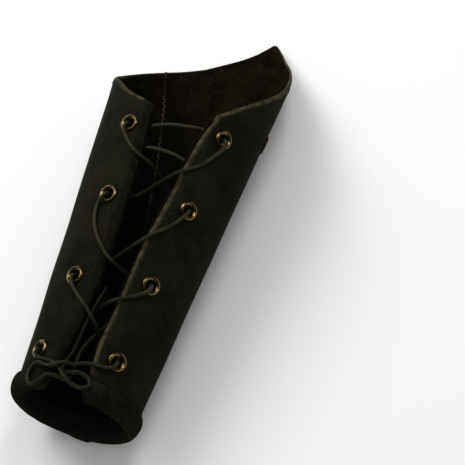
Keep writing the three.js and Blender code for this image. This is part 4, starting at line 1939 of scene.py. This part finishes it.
RIGHT_LOOP_AND_TAIL = (
    Spot(-32.4, 6.8, 2.8),
    Spot(-29, 4.6, 2.2),
    Spot(-23, 3.8, ON),
    Spot(-17, 2.2, 2.6),
    Spot(-13.2, -0.4, 4.4),
    Spot(-9.4, -4.4, 4.8),
    Spot(-4.4, -7.4, 4.8),
    Spot(0.6, -7.6, 4.6),
    Spot(3.4, -4.4, 4.4),
    Spot(1.4, -0.8, 3.4),
    Spot(-3.6, 0.4, 2.6),
    Spot(-8.6, -0.6, 1.2),
    Spot(-12.6, -0.2, -0.6),
    Spot(-13.4, 4.6, -1.4),
    Spot(-11.6, 10.4, -1.6),
    Spot(-11, 17, -2),
    Spot(-10.8, 24.4, -2.4),
    Spot(-10.4, 31, -2.6),
    Spot(-9.2, 37.4, -2.1),
    Spot(-7.8, 44.4, -1.4),
    Spot(-6.4, 51.4, -1.2),
)
LEFT_LOOP_AND_BAR = (
    Spot(12, 10.6, 2.8),
    Spot(8, 8.2, 1.8),
    Spot(2.6, 7.8, ON),
    Spot(-2.4, 6.4, 1.8),
    Spot(-7.2, 3.6, 2.8),
    Spot(-11.6, 2.2, 6),
    Spot(-15.8, -0.6, 6.8),
    Spot(-20.4, -0.6, 5.4),
    Spot(-25, 0.4, 4.9),
    Spot(-28.4, -2.8, 4.7),
    Spot(-28.6, -8, 4.7),
    Spot(-25.4, -11.8, 4.4),
    Spot(-21.4, -9.4, 4.6),
    Spot(-18.6, -5.4, 4.4),
    Spot(-14.4, -4.2, 2),
    Spot(-9.6, -4.6, 0.6),
    Spot(-6.8, -0.8, -1.2),
    Spot(-7, 5, -1.2),
    Spot(-7.4, 11, -1.8),
    Spot(-6.8, 17, -3.4),
    Spot(-5, 22.6, -5.8),
    Spot(-2, 28.4, -7.5),
    Spot(1.8, 34.4, -6.8),
    Spot(4.8, 41.4, -5.7),
    Spot(7.2, 50, UNDER),
    Spot(8.6, 62.8, UNDER),
    Spot(9.6, 76, UNDER),
    Spot(11, 90, UNDER),
    Spot(12.4, 103, UNDER),
    Spot(13.6, 115, UNDER),
    Spot(15.6, 125.6, UNDER),
    Spot(15.6, 132.6, UNDER - 0.2),
    Spot(11.4, 136.2, -6.2),
    Spot(4, 137.6, -7.6),
    Spot(-5, 138, -8),
    Spot(-13, 137.4, -7),
    Spot(-20, 136.4, UNDER - 0.2),
    Spot(-26.4, 136.6, UNDER),
)


@dataclass
class Lace:
    """The round lace through all the eyelets, with its bow."""

    surface: Surface
    radius: float = LACE_RADIUS
    sides: int = 18
    step: float = 0.55
    lean: float = 0.8
    in_eyelet: tuple[float, float, float] = (-6.2, -2.4, 2.0)
    spline_steps: int = 24
    relief_heights: tuple[float, float] = (1.0, 170.0)
    relief_inset: float = 0.5
    relief_fade: float = 6.0
    uneven: float = 0.05
    unevenness: Ripple = Ripple(31, 6.0, 30.0)
    end_length: float = 16.0
    # Where each stretch of painted light and shade starts and where it is full: lit over the flaps, across
    # the open top and on the outer side, shaded by the bow
    flap_lifts: tuple[float, float] = (-2.0, 2.0)
    open_top: tuple[float, float] = (126.0, 136.0)
    by_bow: tuple[float, float] = (12.0, 2.0)
    outer_side: tuple[float, float] = (-0.1, 0.9)

    def route(self) -> list[Spot]:
        """Threads the stretches through the eyelets.

        Returns:
            All the places that the lace passes, from the end of its bar to the end of its tail.
        """
        left, right = Side.LEFT, Side.RIGHT
        from_left = self._threaded(
            TOP_BAR[0],
            [(left, 0), (right, 1), (left, 2), (right, 3)],
            [LEFT_1_TO_RIGHT_2, RIGHT_2_TO_LEFT_3, LEFT_3_TO_RIGHT_4, LEFT_LOOP_AND_BAR],
        )
        from_right = self._threaded(
            TOP_BAR[-1],
            [(right, 0), (left, 1), (right, 2), (left, 3)],
            [RIGHT_1_TO_LEFT_2, LEFT_2_TO_RIGHT_3, RIGHT_3_TO_LEFT_4, RIGHT_LOOP_AND_TAIL],
        )
        return [*reversed(from_left), *TOP_BAR, *from_right]

    def _threaded(
        self, start: Spot, eyelets: Sequence[tuple[Side, int]], stretches: Sequence[Sequence[Spot]]
    ) -> list[Spot]:
        """Joins stretches by passes up through the eyelets.

        Args:
            start: Where the lace comes from.
            eyelets: The side and row of each eyelet.
            stretches: The stretch after each eyelet.

        Returns:
            The places that the lace passes.
        """
        route: list[Spot] = []
        before = start
        for (side, row), stretch in zip(eyelets, stretches):
            arc, height = EYELETS[row].place(side)
            for neighbour, lift in zip((before, Spot(arc, height, 0.0), stretch[0]), self.in_eyelet):
                to_arc, to_height = neighbour.arc - arc, neighbour.height - height
                share = self.lean / (math.hypot(to_arc, to_height) or 1.0)
                route.append(Spot(arc + to_arc * share, height + to_height * share, lift))
            route.extend(stretch)
            before = stretch[-1]
        return route

    def line(self) -> Array:
        """Runs a smooth line along the route.

        Returns:
            Its points, a step apart, in metres.
        """
        arc, height, lift = np.array(self.route()).T
        cone = self.surface.cone
        lift = lift + self._relief(arc, height)
        points = cone.place(cone.degrees(arc, height), height, lift, lift)
        before = 2 * points[:1] - points[1:2]
        after = 2 * points[-1:] - points[-2:-1]
        control = np.concatenate([before, points, after])
        knots = run_along(control, 0.5)
        fine = []
        for i in range(1, len(control) - 2):
            t = np.linspace(knots[i], knots[i + 1], self.spline_steps, endpoint=False)[:, None]
            fine.append(self._spline(control[i - 1 : i + 3], knots[i - 1 : i + 3], t))
        dense = np.concatenate([*fine, control[-2:-1]])
        run = run_along(dense)
        at = np.linspace(0, run[-1], round(run[-1] / MM / self.step))
        return np.stack([np.interp(at, run, dense[:, k]) for k in range(3)], axis=-1)

    def _relief(self, arc: Array, height: Array) -> Array:
        """Finds how far the leather has moved under the lace, fading out in the slit and off the leather.

        Args:
            arc: The arcs of places on the lace.
            height: Their heights.

        Returns:
            The leather's relief at the nearest places on the leather.
        """
        outline, cone = self.surface.outline, self.surface.cone
        height = np.clip(height, *self.relief_heights)
        right, left = outline.right(height), outline.left(height)
        over_right = arc > (left + right) / 2
        right, left = right + self.relief_inset, left - self.relief_inset
        nearest = np.where(over_right, np.maximum(arc, right), np.minimum(arc, left))
        degrees = cone.degrees(nearest, height)
        degrees = np.where(over_right, degrees, degrees + 360.0)
        fade = 1 - ease(0.0, self.relief_fade, np.abs(nearest - arc))
        return self.surface.relief(degrees, height) * fade

    @staticmethod
    def _spline(points: Array, knots: Array, t: Array) -> Array:
        """Reads a centripetal spline between its two middle points.

        Args:
            points: Four points.
            knots: Their knots.
            t: Where it is read.

        Returns:
            The points there.
        """

        def between(low: int, high: int, first: Array, second: Array) -> Array:
            """Runs from the first to the second between two knots."""
            share = (t - knots[low]) / (knots[high] - knots[low])
            return (1 - share) * first + share * second

        lines = [between(k, k + 1, points[k], points[k + 1]) for k in range(3)]
        curves = [between(k, k + 2, lines[k], lines[k + 1]) for k in range(2)]
        return between(1, 2, curves[0], curves[1])

    def rubbed_and_lit(self, line: Array, points: Array) -> Array:
        """Finds the painted light on the lace: lighter on its outer side, most on the flaps and across the
        open top, with painted shade in the slit and by the bow.

        Args:
            line: The lace's centreline, in metres.
            points: The points of its tube.

        Returns:
            How lit each point is painted, 0 to 1.
        """
        height, lift, out = self.surface.cone.read(line)
        on_flap = ease(*self.flap_lifts, lift) ** 0.8 * (1 - 0.4 * ease(*self.by_bow, height))
        worn_and_lit = np.maximum(on_flap, ease(*self.open_top, height))
        facing = np.sum((points.reshape(len(line), self.sides, 3) - line[:, None]) * out[:, None], axis=2)
        outer = ease(*self.outer_side, facing / (self.radius * MM))
        return (worn_and_lit * 0.92 + 0.08)[:, None] * (0.2 + 0.8 * outer)

    def build(self) -> None:
        """Makes the lace."""
        line = self.line()
        ahead = unit(np.gradient(line, axis=0))
        up = np.zeros_like(line)
        up[0] = np.cross(ahead[0], [1.0, 0.0, 0.0])
        for k in range(1, len(line)):
            up[k] = unit(up[k - 1] - ahead[k] * np.dot(up[k - 1], ahead[k]))
        run = run_along(line)
        uneven = 1 + self.uneven * self.unevenness(run / MM, 0.0)
        to_end = np.minimum(run, run[-1] - run) / MM
        radii = self.radius * MM * uneven * (0.5 + 0.5 * ease(0.0, self.end_length, to_end) ** 0.7)
        points, faces = tubes(line[None], up[None], radii[None], self.sides)
        piece = new_object("round_lace", points, faces)
        set_attribute(piece, "along", np.repeat(run, self.sides))
        # Painted light and shade for the lace's colour
        set_attribute(piece, "rubbed_and_lit", self.rubbed_and_lit(line, points))
        set_attribute(piece, "turn", np.tile(np.abs(np.arange(self.sides) / self.sides - 0.5) * 2, len(line)))
        finish_piece(piece, [RoundLace().material()], ["lace"])
        log.info("the lace is %.0f mm long", run[-1] / MM)


@dataclass
class Studio:
    """The camera, the lights and the floor."""

    camera_place: tuple[float, float, float] = (0.3331, -0.5644, 1.1578)
    camera_ahead: tuple[float, float, float] = (-0.22303, 0.43491, -0.87241)
    camera_up: tuple[float, float, float] = (-0.24647, 0.84070, 0.48216)
    lens: float = 177.46
    sensor: float = 36.0
    key_place: tuple[float, float, float] = (-0.82, 0.40, 1.05)
    key_size: float = 0.8
    key_power: float = 12.0
    top_place: tuple[float, float, float] = (0.20, 0.50, 1.28)
    top_size: float = 0.4
    top_power: float = 4.5
    world: float = 0.52
    mirrored_world: float = 0.15
    floor: Colour = (0.88, 0.875, 0.865)
    floor_light: float = 1.01
    floor_mottle: Mottle = Mottle(400)
    floor_half: float = 4.0

    def build(self) -> None:
        """Sets up the studio."""
        ahead, up = Vector(self.camera_ahead).normalized(), Vector(self.camera_up)
        right = ahead.cross(up).normalized()
        up = right.cross(ahead)
        rotation = Matrix((right, up, -ahead)).transposed().to_4x4()
        camera = bpy.data.cameras.new("camera")
        camera.lens = self.lens
        camera.sensor_width = self.sensor
        camera.clip_start = 0.05
        shot = bpy.data.objects.new("camera", camera)
        shot.matrix_world = Matrix.Translation(self.camera_place) @ rotation
        bpy.context.scene.collection.objects.link(shot)
        bpy.context.scene.camera = shot
        self._light("key", self.key_place, self.key_size, self.key_power)
        self._light("top", self.top_place, self.top_size, self.top_power)
        self._world()
        self._floor()

    def _light(self, name: str, place: tuple[float, float, float], size: float, power: float) -> None:
        """Hangs a soft square light that points at the bracer.

        Args:
            name: Its name.
            place: Where it hangs.
            size: Its side, in metres.
            power: Its power, in watts.
        """
        lamp = bpy.data.lights.new(name, "AREA")
        lamp.size = size
        lamp.energy = power
        hung = bpy.data.objects.new(name, lamp)
        hung.matrix_world = (
            Matrix.Translation(place) @ (-Vector(place)).to_track_quat("-Z", "Y").to_matrix().to_4x4()
        )
        bpy.context.scene.collection.objects.link(hung)

    def _world(self) -> None:
        """Lights the whole room evenly and pale, with dim walls for what is mirrored in the brass."""
        world = bpy.data.worlds.new("room")
        tree = Tree(world)
        mirrored = Value(tree, tree.add("ShaderNodeLightPath").outputs["Is Glossy Ray"])
        strength = self.world * (1 - mirrored * (1 - self.mirrored_world))
        inputs = {"Color": (1.0, 1.0, 1.0, 1.0), "Strength": strength}
        background = tree.add("ShaderNodeBackground", None, inputs)
        tree.add("ShaderNodeOutputWorld", None, {"Surface": background.outputs[0]})
        bpy.context.scene.world = world
        bpy.context.scene.view_settings.view_transform = "Standard"

    def _floor(self) -> None:
        """Lays a plain pale floor."""
        half = self.floor_half
        corners = np.array([(-half, -half, 0), (half, -half, 0), (half, half, 0), (-half, half, 0)])
        floor = new_object("floor", corners, [[0, 1, 2, 3]], smooth=False)
        tree = Tree(bpy.data.materials.new("pale_floor"))
        lighter = tuple(min(1.0, c * self.floor_light) for c in self.floor)
        colour = tree.blend(tree.noise(self.floor_mottle), self.floor, lighter)
        floor.data.materials.append(tree.finish(Base_Color=colour, Roughness=0.9))


def all_fittings(cone: Cone, outline: Outline) -> tuple[Fitting, ...]:
    """Finds the places of all the eyelets and rivets.

    Args:
        cone: The bracer's cone.
        outline: Its outline.

    Returns:
        The fittings.
    """
    eyelet_hole, rivet_hole = 3.4, 3.7
    fittings = []
    for row, eyelet in enumerate(EYELETS, start=1):
        for side, turn in ((Side.LEFT, 360.0), (Side.RIGHT, 0.0)):
            arc, height = eyelet.place(side)
            degrees = float(cone.degrees(arc, height)) + turn
            fittings.append(Fitting(f"eyelet_{side.value}_{row}", degrees, height, eyelet_hole, True))
    for rivet in RIVETS:
        degrees = outline.peak_from_front + rivet.from_peak
        fittings.append(Fitting(rivet.node, degrees, rivet.height, rivet_hole, False))
    return tuple(fittings)


def main() -> None:
    """Builds the bracer and its studio."""
    logging.basicConfig(level=logging.INFO, format="%(message)s")
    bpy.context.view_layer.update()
    cone = Cone()
    outline = Outline(cone)
    surface = Surface(cone, outline, all_fittings(cone, outline))
    Studio().build()
    for part in (Shell(surface), Lining(surface), WristRoll(surface), BrassFittings(surface), Lace(surface)):
        part.build()


if __name__ == "__main__":
    main()
